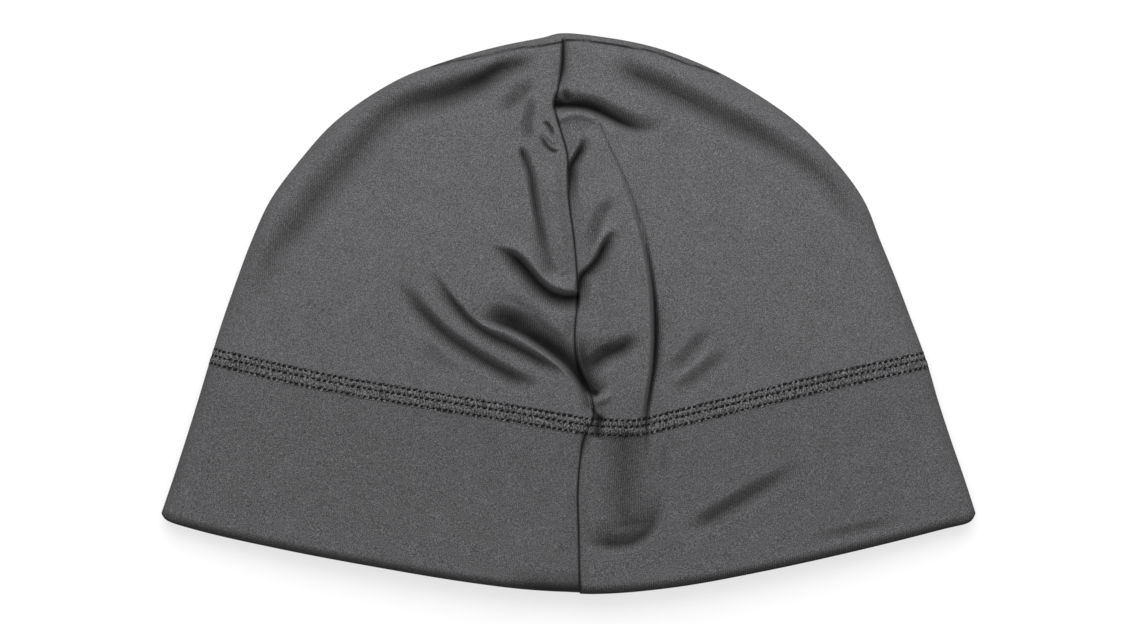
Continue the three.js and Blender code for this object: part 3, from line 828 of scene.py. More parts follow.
@dataclass(frozen=True)
class SpunThread:
    """Spun polyester sewing thread: two plies, dull, with a tight twist and a trace of shine along it."""

    name: str
    colour: str
    twist_scale: float = 2600.0  # bumps to the metre, so each turn of the twist is about 0.4 mm long
    twist_depth: float = 0.05
    tone_range: tuple[float, float] = (0.6, 1.4)
    roughness: float = 0.7
    # share of colour kept where the painted shade is darkest
    fully_shaded_keeps: float = 0.1

    def material(self) -> bpy.types.Material:
        """Builds the shader.

        Returns:
            The material.
        """
        material = new_material(self.name)
        tree = material.node_tree
        place = add_node(tree, "ShaderNodeTexCoord").outputs
        twist = noise(tree, place["Object"], self.twist_scale, detail=1.0, roughness=0.5)
        dark, light = ((*(tone * part for part in linear(self.colour)[:3]), 1.0) for tone in self.tone_range)
        tones = add_node(tree, "ShaderNodeMix", {"data_type": "RGBA"}, {0: twist, 6: dark, 7: light})
        # the painted shade of the cloth under the thread, carried onto the thread's colour
        painted_shading = add_node(tree, "ShaderNodeAttribute", {"attribute_name": "painted_shading"}).outputs["Fac"]
        keeps = kept_under_painted_shade(tree, painted_shading, self.fully_shaded_keeps, True)
        bump = add_node(tree, "ShaderNodeBump", inputs={
            "Strength": 0.5, "Distance": self.twist_depth * MM, "Height": twist,
        })
        surface(tree, {
            "Base Color": scaled(tree, tones.outputs[2], keeps), "Roughness": self.roughness, "IOR": 1.5,
            "Specular IOR Level": 0.12, "Normal": bump.outputs["Normal"],
        })
        return material


@dataclass(frozen=True)
class Cut:
    """The rectangle that a sheet is cut from, in millimetres, and the share of it that the sheet fills."""

    width: float
    height: float
    share: float


def dress(
    piece: bpy.types.Object, finish: bpy.types.Material, node: str
) -> None:
    """Gives a piece its finish and puts it in the place of its CAD node.

    Args:
        piece: the piece.
        finish: its material.
        node: the node that it stands for.
    """
    piece.data.materials.append(finish)
    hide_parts(node)
    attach(piece, "root")


@dataclass
class CrownPanel:
    """Half of the crown, sewn to the other half down the middle of the back and of the front.

    Its cut is as wide as the way from the back seam over the side to the front seam, along the panel's foot.
    """

    form: CapForm
    side: Side
    finish: bpy.types.Material
    above: float = 3.02
    gap: float = 0.006
    wall: float = 1.2
    rows: int = 300
    apex_rows: int = 18
    edge_follow: float = 5.0
    seam_follow: float = 10.0
    cut: Cut = Cut(250.0, 135.0, 0.74)
    fineness: Fineness = Fineness()

    def build(self) -> bpy.types.Object:
        """Builds the panel in the place of its CAD node.

        Returns:
            The object.
        """
        form, side = self.form, self.side.value
        line = form.sides[self.side]
        foot_arc, foot = form.side_crossing(self.side, self.above)
        apex_arc = line.length - self.gap / 2
        climb = form.seam.samples[:, 1] - form.stitch.y_at(form.seam.samples[:, 0])
        seam_length = form.seam.length - float(np.interp(self.above, climb, form.seam.arcs))
        turn = form.upper_reach / seam_length
        apex_angles = np.linspace(0.5 * math.pi, 0.0, self.apex_rows, endpoint=False)
        ways = np.concatenate([
            1.0 - np.arange(self.rows) / self.rows * (1.0 - turn),
            turn * (1.0 - np.cos(apex_angles)),
        ])
        starts = form.seam.at(form.seam.length - ways * seam_length) + np.array([side * self.gap / 2, 0.0])
        ends = line.at(apex_arc - ways * (apex_arc - foot_arc))

        def sag(x: np.ndarray) -> np.ndarray:
            """Returns how far the foot lies above a straight line between the panel's lower corners."""
            chord = starts[0, 1] + (x - starts[0, 0]) / (foot[0] - starts[0, 0]) * (foot[1] - starts[0, 1])
            return form.stitch.y_at(x) + self.above - chord

        def place(shares: np.ndarray) -> tuple[np.ndarray, np.ndarray]:
            """Returns x and y for shares of each row's way out; the lowest rows follow the joining seam."""
            spots = starts[:, None] + shares[..., None] * (ends - starts)[:, None]
            bend = sag(spots[..., 0]) - (1.0 - shares) ** self.seam_follow * sag(starts[:, :1])
            return spots[..., 0], spots[..., 1] + ways[:, None] ** self.edge_follow * bend

        lengths = np.linalg.norm(ends - starts, axis=1)
        layers = self.fineness.layers(lengths, form)
        upper, lower = (form.cloth(*place(shares), layer) for layer, shares in layers)
        cloth = upper.then(lower)
        apex = line.at(np.array([[apex_arc]]))
        peak = form.cloth(apex[..., 0], apex[..., 1], Layer.UPPER)
        tip = np.concatenate([peak.points[0], peak.face(-self.wall)[0]])
        name = f"crown_{self.side.name.lower()}_panel"
        panel = ClothWall.build(f"{name}_jersey", cloth.points, cloth.face(-self.wall), cloth, tip=tip)
        dress(panel, self.finish, name)
        return panel


@dataclass
class JoiningSeam:
    """The flat seam that joins crown and headband, held by three rows of stitches with loopers between."""

    form: CapForm
    finish: bpy.types.Material
    below: float = 3.7
    above: float = 3.0
    wall: float = 2.4
    proud_low: float = 0.28
    proud_high: float = 0.12
    edge_round: float = 0.45
    edge_level: float = 0.35  # of the strip's rise, which its very edge keeps
    edge_steps: tuple[float, ...] = (0.0, 0.12, 0.4)
    edge_clear: float = 0.5
    row_offsets: tuple[float, ...] = (-2.9, 0.0, 2.2)
    row_groove: float = 0.24
    row_reach: float = 0.55
    net_rows: int = 34
    flush_from: float = 0.3  # the upward share of the normal under which the strip sinks to the cloth
    fineness: Fineness = Fineness()

    def proud(self, above: np.ndarray) -> np.ndarray:
        """Returns how far the strip stands above the cloth round it, at ways above its middle row."""
        share = (above + self.below) / (self.below + self.above)
        level = self.proud_low + (self.proud_high - self.proud_low) * share
        from_edge = np.minimum(above + self.below, self.above - above)
        held = np.clip(1.0 - from_edge / self.edge_round, 0.0, 1.0)
        level = level * between(self.edge_level, 1.0, np.sqrt(1.0 - held * held))
        for offset in self.row_offsets:
            level = level - self.row_groove * np.exp(-(((above - offset) / self.row_reach) ** 2))
        return level

    def ring(self, above: np.ndarray) -> tuple[Cloth, np.ndarray]:
        """Lays rows of the strip right round the cap.

        Args:
            above: each row's way above the middle stitch row.

        Returns:
            The cloth, and how far each place is lifted off it.
        """
        form = self.form
        middle = float(form.seam.x_at(form.stitch.y_at(0.0)))
        halves = []
        for side in (Side.RIGHT, Side.LEFT):
            runs = np.array([form.side_crossing(side, float(way))[1][0] - middle for way in above])
            layers = []
            for layer, shares in self.fineness.layers(np.abs(runs), form):
                x = middle + shares * runs[:, None]
                layers.append(form.cloth(x, form.stitch.y_at(x) + above[:, None], layer))
            halves.append(layers[0].then(layers[1]))
        whole = halves[0].then(halves[1].backwards()).columns(slice(None, -1))
        lift = self.proud(above)[:, None] * eased(whole.normals[..., 2] / self.flush_from)
        return whole, lift

    def build(self) -> bpy.types.Object:
        """Builds the strip in the place of its CAD node.

        Returns:
            The object.
        """
        inner = np.linspace(-self.below, self.above, self.net_rows)[1:-1]
        inner = inner[inner > -self.below + self.edge_clear]
        fine = self.edge_round * np.array(self.edge_steps)
        above = np.unique(np.round(np.concatenate([-self.below + fine, inner, self.above - fine]), 4))
        cloth, lift = self.ring(above)
        outer = cloth.points + lift[..., None] * cloth.normals
        strip = ClothWall.build("joining_seam_strip", outer, cloth.face(-self.wall), cloth, ring=True)
        dress(strip, self.finish, "joining_seam")
        return strip


@dataclass
class Headband:
    """The headband: a folded strip round the head whose ends meet at the back, with a rounded lower edge.

    Its cut is as wide as the hem is long, and as high as the band is once it is folded double and sewn on. It
    doesn't fill that rectangle, because its top is shorter than its hem.
    """

    form: CapForm
    finish: bpy.types.Material
    below: float = 3.72
    gap: float = 0.006
    wall: float = 2.2
    rows: int = 104
    nose_rows: int = 9
    nose_turn: float = 0.46 * math.pi
    hem_step: float = 0.8
    hem_step_reach: float = 14.0
    edge_follow: float = 6.0
    cut: Cut = Cut(564.0, 55.0, 0.95)
    fineness: Fineness = Fineness()

    def build(self) -> bpy.types.Object:
        """Builds the headband in the place of its CAD node.

        Returns:
            The object.
        """
        form = self.form
        height = float(form.stitch.y_at(0.0) - self.below - form.hem.y_at(0.0))
        turn = 0.5 * self.wall / height
        angles = np.linspace(0.0, self.nose_turn, self.nose_rows)
        shares = np.concatenate([
            np.linspace(0.0, 1.0 - turn, self.rows, endpoint=False),
            1.0 - turn * (1.0 - np.sin(angles)),
        ])
        tuck = np.concatenate([np.zeros(self.rows), 0.5 * self.wall * (1.0 - np.cos(angles))])
        whole = self._half(shares, Side.RIGHT).then(self._half(shares, Side.LEFT).backwards())
        outer = whole.points - tuck[:, None, None] * whole.normals
        inner = whole.points - (self.wall - tuck)[:, None, None] * whole.normals
        band = ClothWall.build("headband_jersey", outer, inner, whole)
        dress(band, self.finish, "headband")
        return band

    def _half(self, shares: np.ndarray, side: Side) -> Cloth:
        """Lays one half of the band.

        Args:
            shares: each row's share of the way from the joining seam to the hem.
            side: left or right.

        Returns:
            The cloth from the back seam over the side fold to the front seam.
        """
        form = self.form
        offset = side.value * self.gap / 2
        top_x = float(form.seam.x_at(form.stitch.y_at(0.0))) + offset
        hem_x = float(form.seam.x_at(form.hem.y_at(0.0))) + offset
        top_arc, top = form.side_crossing(side, -self.below)
        hem_end = side.value * form.outline_rows[0][1]
        share = shares[:, None]
        edge = form.sides[side].at(top_arc * (1.0 - shares))
        start_y = between(form.stitch.y_at(top_x) - self.below, form.hem.y_at(hem_x), share)
        bow = form.seam.x_at(start_y) + offset - between(top_x, hem_x, share)
        off_x = edge[:, :1] - between(top[0], hem_end, share)
        off_y = edge[:, 1:] - between(top[1], form.outline_rows[0][0], share)
        layers = []
        for layer, across in self.fineness.layers(np.full(shares.shape, abs(hem_end)), form):
            shift = bow * (1.0 - across) ** 2
            upper_x = top_x + across * (top[0] - top_x) + shift
            lower_x = hem_x + across * (hem_end - hem_x) + shift
            hem_y = form.hem.y_at(lower_x)
            if layer is Layer.UPPER and side is Side.LEFT:
                hem_y = hem_y + self.hem_step * np.exp(-across * abs(hem_end) / self.hem_step_reach)
            follow = across ** self.edge_follow
            x = between(upper_x, lower_x, share) + follow * off_x
            y = between(form.stitch.y_at(upper_x) - self.below, hem_y, share) + follow * off_y
            layers.append(form.cloth(x, y, layer))
        return layers[0].then(layers[1])


@dataclass(frozen=True)
class Stitching:
    """How a thread is sewn: lengths in millimetres, angles in degrees and spreads to either side.

    offsets are its rows' ways above the seam's middle row. lift is how far its middle lies above the strip.
    """

    name: str
    offsets: tuple[float, ...]
    lift: float
    pitch: float
    length: float
    width: float
    height: float
    slant: float
    slant_spread: float
    size_spread: float
    side_spread: float
    seed: int

    def values(self, thread: bpy.types.Material) -> dict:
        """Returns the stitch tree's inputs by name, in metres and radians."""
        return {
            "Pitch": self.pitch * MM, "Length": self.length * MM, "Width": self.width * MM,
            "Height": self.height * MM, "Slant": math.radians(self.slant),
            "Slant Spread": math.radians(self.slant_spread), "Size Spread": self.size_spread,
            "Side Spread": self.side_spread * MM, "Seed": self.seed, "Thread": thread,
        }


class StitchTree:
    """A node tree that sews stitches along closed lines that carry a cloth_normal."""

    SIZES = ("Pitch", "Length", "Width", "Height", "Slant", "Slant Spread", "Size Spread", "Side Spread")
    INPUTS = {
        **dict.fromkeys(SIZES, "NodeSocketFloat"), "Seed": "NodeSocketInt", "Thread": "NodeSocketMaterial",
    }
    # What each use of the seed adds to it, which keeps the uses apart.
    SLANT_SEED, SIDE_SEED, SIZE_SEED = 0, 7, 13

    def __init__(self) -> None:
        """Builds the tree once for all rows."""
        tree = self.tree = bpy.data.node_groups.new("stitch_rows", "GeometryNodeTree")
        face = tree.interface
        face.new_socket("Geometry", in_out="INPUT", socket_type="NodeSocketGeometry")
        self.sockets = {
            name: face.new_socket(name, in_out="INPUT", socket_type=kind).identifier
            for name, kind in self.INPUTS.items()
        }
        face.new_socket("Geometry", in_out="OUTPUT", socket_type="NodeSocketGeometry")
        given = self.given = add_node(tree, "NodeGroupInput").outputs
        line = add_node(tree, "GeometryNodeMeshToCurve", inputs={"Mesh": given["Geometry"]})
        spaced = add_node(tree, "GeometryNodeResampleCurve", {"mode": "LENGTH"}, {
            "Curve": line.outputs["Curve"], "Length": given["Pitch"],
        })
        upward = add_node(tree, "GeometryNodeInputNamedAttribute", {"data_type": "FLOAT_VECTOR"}, {
            "Name": "cloth_normal",
        }).outputs["Attribute"]
        tangent = add_node(tree, "GeometryNodeInputTangent").outputs["Tangent"]
        across = add_node(tree, "ShaderNodeVectorMath", {"operation": "CROSS_PRODUCT"}, {
            0: upward, 1: tangent,
        })
        aside = self._spread(self.SIDE_SEED, given["Side Spread"], 0.0)
        loose = add_node(tree, "GeometryNodeSetPosition", inputs={
            "Geometry": spaced.outputs["Curve"], "Offset": scaled(tree, across.outputs[0], aside),
        })
        bead = add_node(tree, "GeometryNodeMeshUVSphere", inputs={"Segments": 8, "Rings": 6, "Radius": 0.5})
        smooth = add_node(tree, "GeometryNodeSetShadeSmooth", inputs={"Geometry": bead.outputs["Mesh"]})
        size = add_node(tree, "ShaderNodeCombineXYZ", inputs={
            "X": given["Length"], "Y": given["Width"], "Z": given["Height"],
        })
        sewn = add_node(tree, "GeometryNodeInstanceOnPoints", inputs={
            "Points": loose.outputs["Geometry"], "Instance": smooth.outputs["Geometry"],
            "Rotation": self._heading(tangent, upward),
            "Scale": scaled(tree, size.outputs[0], self._spread(self.SIZE_SEED, given["Size Spread"], 1.0)),
        })
        real = add_node(tree, "GeometryNodeRealizeInstances", inputs={"Geometry": sewn.outputs["Instances"]})
        dyed = add_node(tree, "GeometryNodeSetMaterial", inputs={
            "Geometry": real.outputs["Geometry"], "Material": given["Thread"],
        })
        add_node(tree, "NodeGroupOutput", inputs={"Geometry": dyed.outputs["Geometry"]})

    def _heading(self, tangent: Socket, upward: Socket) -> Socket:
        """Adds the way each stitch points: along the row, flat on the cloth and turned by its slant.

        Args:
            tangent: the row's direction.
            upward: the cloth's normal.

        Returns:
            The rotation.
        """
        axes = {"primary_axis": "X", "secondary_axis": "Z"}
        flat = add_node(self.tree, "FunctionNodeAxesToRotation", axes, {0: tangent, 1: upward})
        yaw = self._spread(self.SLANT_SEED, self.given["Slant Spread"], self.given["Slant"])
        around_up = add_node(self.tree, "ShaderNodeCombineXYZ", inputs={"Z": yaw})
        turn = add_node(self.tree, "FunctionNodeEulerToRotation", inputs={0: around_up.outputs[0]})
        return add_node(self.tree, "FunctionNodeRotateRotation", {"rotation_space": "LOCAL"}, {
            0: flat.outputs[0], 1: turn.outputs[0],
        }).outputs[0]

    def _spread(self, shift: int, spread: Socket, middle: Socket | float) -> Socket:
        """Adds an even random number for each stitch.

        Args:
            shift: what this use adds to the seed.
            spread: how far the number lies from the middle at most.
            middle: the middle.

        Returns:
            The number.
        """
        chance = add_node(self.tree, "FunctionNodeRandomValue", {"data_type": "FLOAT"}, {
            2: -1.0, 3: 1.0, "Seed": compute(self.tree, "ADD", self.given["Seed"], float(shift)),
        })
        return compute(self.tree, "MULTIPLY_ADD", chance.outputs[1], spread, middle)

    def sew(self, name: str, cloth: Cloth, values: dict) -> bpy.types.Object:
        """Sews along closed lines.

        Args:
            name: the finished object's name.
            cloth: the lines, one to each row of the cloth.
            values: the tree's inputs by name.

        Returns:
            A plain mesh object.
        """
        rows, count = cloth.around.shape
        edges = [
            (row * count + k, row * count + (k + 1) % count) for row in range(rows) for k in range(count)
        ]
        guide = bpy.data.meshes.new(f"{name}_guide")
        guide.from_pydata((cloth.points.reshape(-1, 3) * MM).tolist(), edges, [])
        carry(guide, "cloth_normal", cloth.normals.reshape(-1, 3))
        # the cloth's painted shade, which the thread's colour takes on
        carry(guide, "painted_shading", cloth.painted_shading.ravel())
        holder = linked(f"{name}_guide", guide)
        modifier = holder.modifiers.new("stitches", "NODES")
        modifier.node_group = self.tree
        for key, value in values.items():
            modifier[self.sockets[key]] = value
        mesh = bpy.data.meshes.new_from_object(holder.evaluated_get(bpy.context.evaluated_depsgraph_get()))
        mesh.name = name
        holder.modifiers.remove(modifier)
        bpy.data.objects.remove(holder)
        bpy.data.meshes.remove(guide)
        return linked(name, mesh)


@dataclass
class SeamStitches:
    """The joining seam's thread: three rows of slanted needle stitches and the looper thread between them."""

    seam: JoiningSeam
    needle_thread: bpy.types.Material
    looper_thread: bpy.types.Material
    needle: Stitching = Stitching(
        "needle_stitches", offsets=JoiningSeam.row_offsets, lift=0.14, pitch=2.0, length=1.36, width=0.8,
        height=0.5, slant=22, slant_spread=10, size_spread=0.2, side_spread=0.06, seed=3,
    )
    looper: Stitching = Stitching(
        "looper_threads", offsets=(-1.5, 1.1), lift=0.02, pitch=1.0, length=1.3, width=0.19, height=0.19,
        slant=88, slant_spread=24, size_spread=0.4, side_spread=0.3, seed=11,
    )
    upright: float = 0.2  # the upward share of the normal under which the threads sink into the cloth
    sunk: float = 0.3

    def build(self) -> list[bpy.types.Object]:
        """Builds both threads.

        Returns:
            The objects.
        """
        tree = StitchTree()
        threads = []
        for stitching, material in ((self.needle, self.needle_thread), (self.looper, self.looper_thread)):
            cloth, proud = self.seam.ring(np.array(stitching.offsets))
            above = np.where(cloth.normals[..., 2] > self.upright, proud + stitching.lift, -self.sunk)
            cloth.points = cloth.points + above[..., None] * cloth.normals
            thread = tree.sew(stitching.name, cloth, stitching.values(material))
            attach(thread, "root")
            threads.append(thread)
        return threads


@dataclass
class Studio:
    """A white floor under one broad soft lamp, in a room with a white ceiling and dark lower walls."""

    middle: tuple[float, float] = (-0.17, 0.35)
    frame_width: float = 392.2
    face_height: float = 5.0
    lens: float = 150.0
    sensor: float = 36.0
    # Lamp and floor are in metres.
    lamp_rise: float = math.radians(42)
    lamp_distance: float = 1.6
    lamp_width: float = 2.0
    lamp_height: float = 1.7
    lamp_power: float = 45.0
    room_strength: float = 1.15
    room_floor: float = 0.06
    room_from: float = 0.2  # sine of the rise at which the room begins to brighten
    room_full: float = 0.65
    floor_side: float = 6.0
    floor_drop: float = 0.0004
    floor_colour: str = "#8c8c8c"
    floor_glow: float = 0.62

    def build(self) -> None:
        """Sets camera, lamp, room and floor."""
        scene = bpy.context.scene
        scene.view_settings.view_transform = "Standard"
        scene.view_settings.look = "None"
        scene.camera = self._camera()
        scene.world = self._room()
        self._lamp()
        self._floor()

    def _camera(self) -> bpy.types.Object:
        """Puts the camera straight above the cap, its top edge towards the crown."""
        data = bpy.data.cameras.new("camera")
        data.lens = self.lens
        data.sensor_width = self.sensor
        camera = linked("camera", data)
        height = self.face_height + self.frame_width * self.lens / self.sensor
        camera.location = Vector((*self.middle, height)) * MM
        return camera

    def _lamp(self) -> None:
        """Hangs the lamp beyond the crown, facing the cap."""
        data = bpy.data.lights.new("soft_lamp", "AREA")
        data.shape = "RECTANGLE"
        data.size = self.lamp_width
        data.size_y = self.lamp_height
        data.energy = self.lamp_power
        lamp = linked("soft_lamp", data)
        away = Vector((0.0, math.cos(self.lamp_rise), math.sin(self.lamp_rise)))
        lamp.location = away * self.lamp_distance
        lamp.rotation_euler = away.to_track_quat("Z", "Y").to_euler()

    def _room(self) -> bpy.types.World:
        """Lights the room's ceiling, brighter the higher one looks."""
        world = bpy.data.worlds.new("white_room")
        world.use_nodes = True
        tree = world.node_tree
        tree.nodes.clear()
        way = add_node(tree, "ShaderNodeTexCoord").outputs["Generated"]
        parts = add_node(tree, "ShaderNodeSeparateXYZ", inputs={"Vector": way})
        ceiling = add_node(tree, "ShaderNodeMapRange", {"interpolation_type": "SMOOTHSTEP"}, {
            "Value": parts.outputs["Z"], "From Min": self.room_from, "From Max": self.room_full,
            "To Min": self.room_floor, "To Max": self.room_strength,
        })
        white = add_node(tree, "ShaderNodeBackground", inputs={
            "Color": linear("#ffffff"), "Strength": ceiling.outputs["Result"],
        })
        add_node(tree, "ShaderNodeOutputWorld", inputs={"Surface": white.outputs["Background"]})
        return world

    def _floor(self) -> bpy.types.Object:
        """Lays a white floor that glows a little just under the cap, and that throws no light back on it."""
        half = 0.5 * self.floor_side
        mesh = bpy.data.meshes.new("white_floor")
        corners = [(-half, -half), (half, -half), (half, half), (-half, half)]
        mesh.from_pydata([(x, y, -self.floor_drop) for x, y in corners], [], [(0, 1, 2, 3)])
        floor = linked("white_floor", mesh)
        opal = new_material("opal_acrylic")
        surface(opal.node_tree, {
            "Base Color": linear(self.floor_colour), "Roughness": 0.95, "Specular IOR Level": 0.1,
            "Emission Color": linear("#ffffff"), "Emission Strength": self.floor_glow,
        })
        mesh.materials.append(opal)
        floor.visible_diffuse = False
        return floor


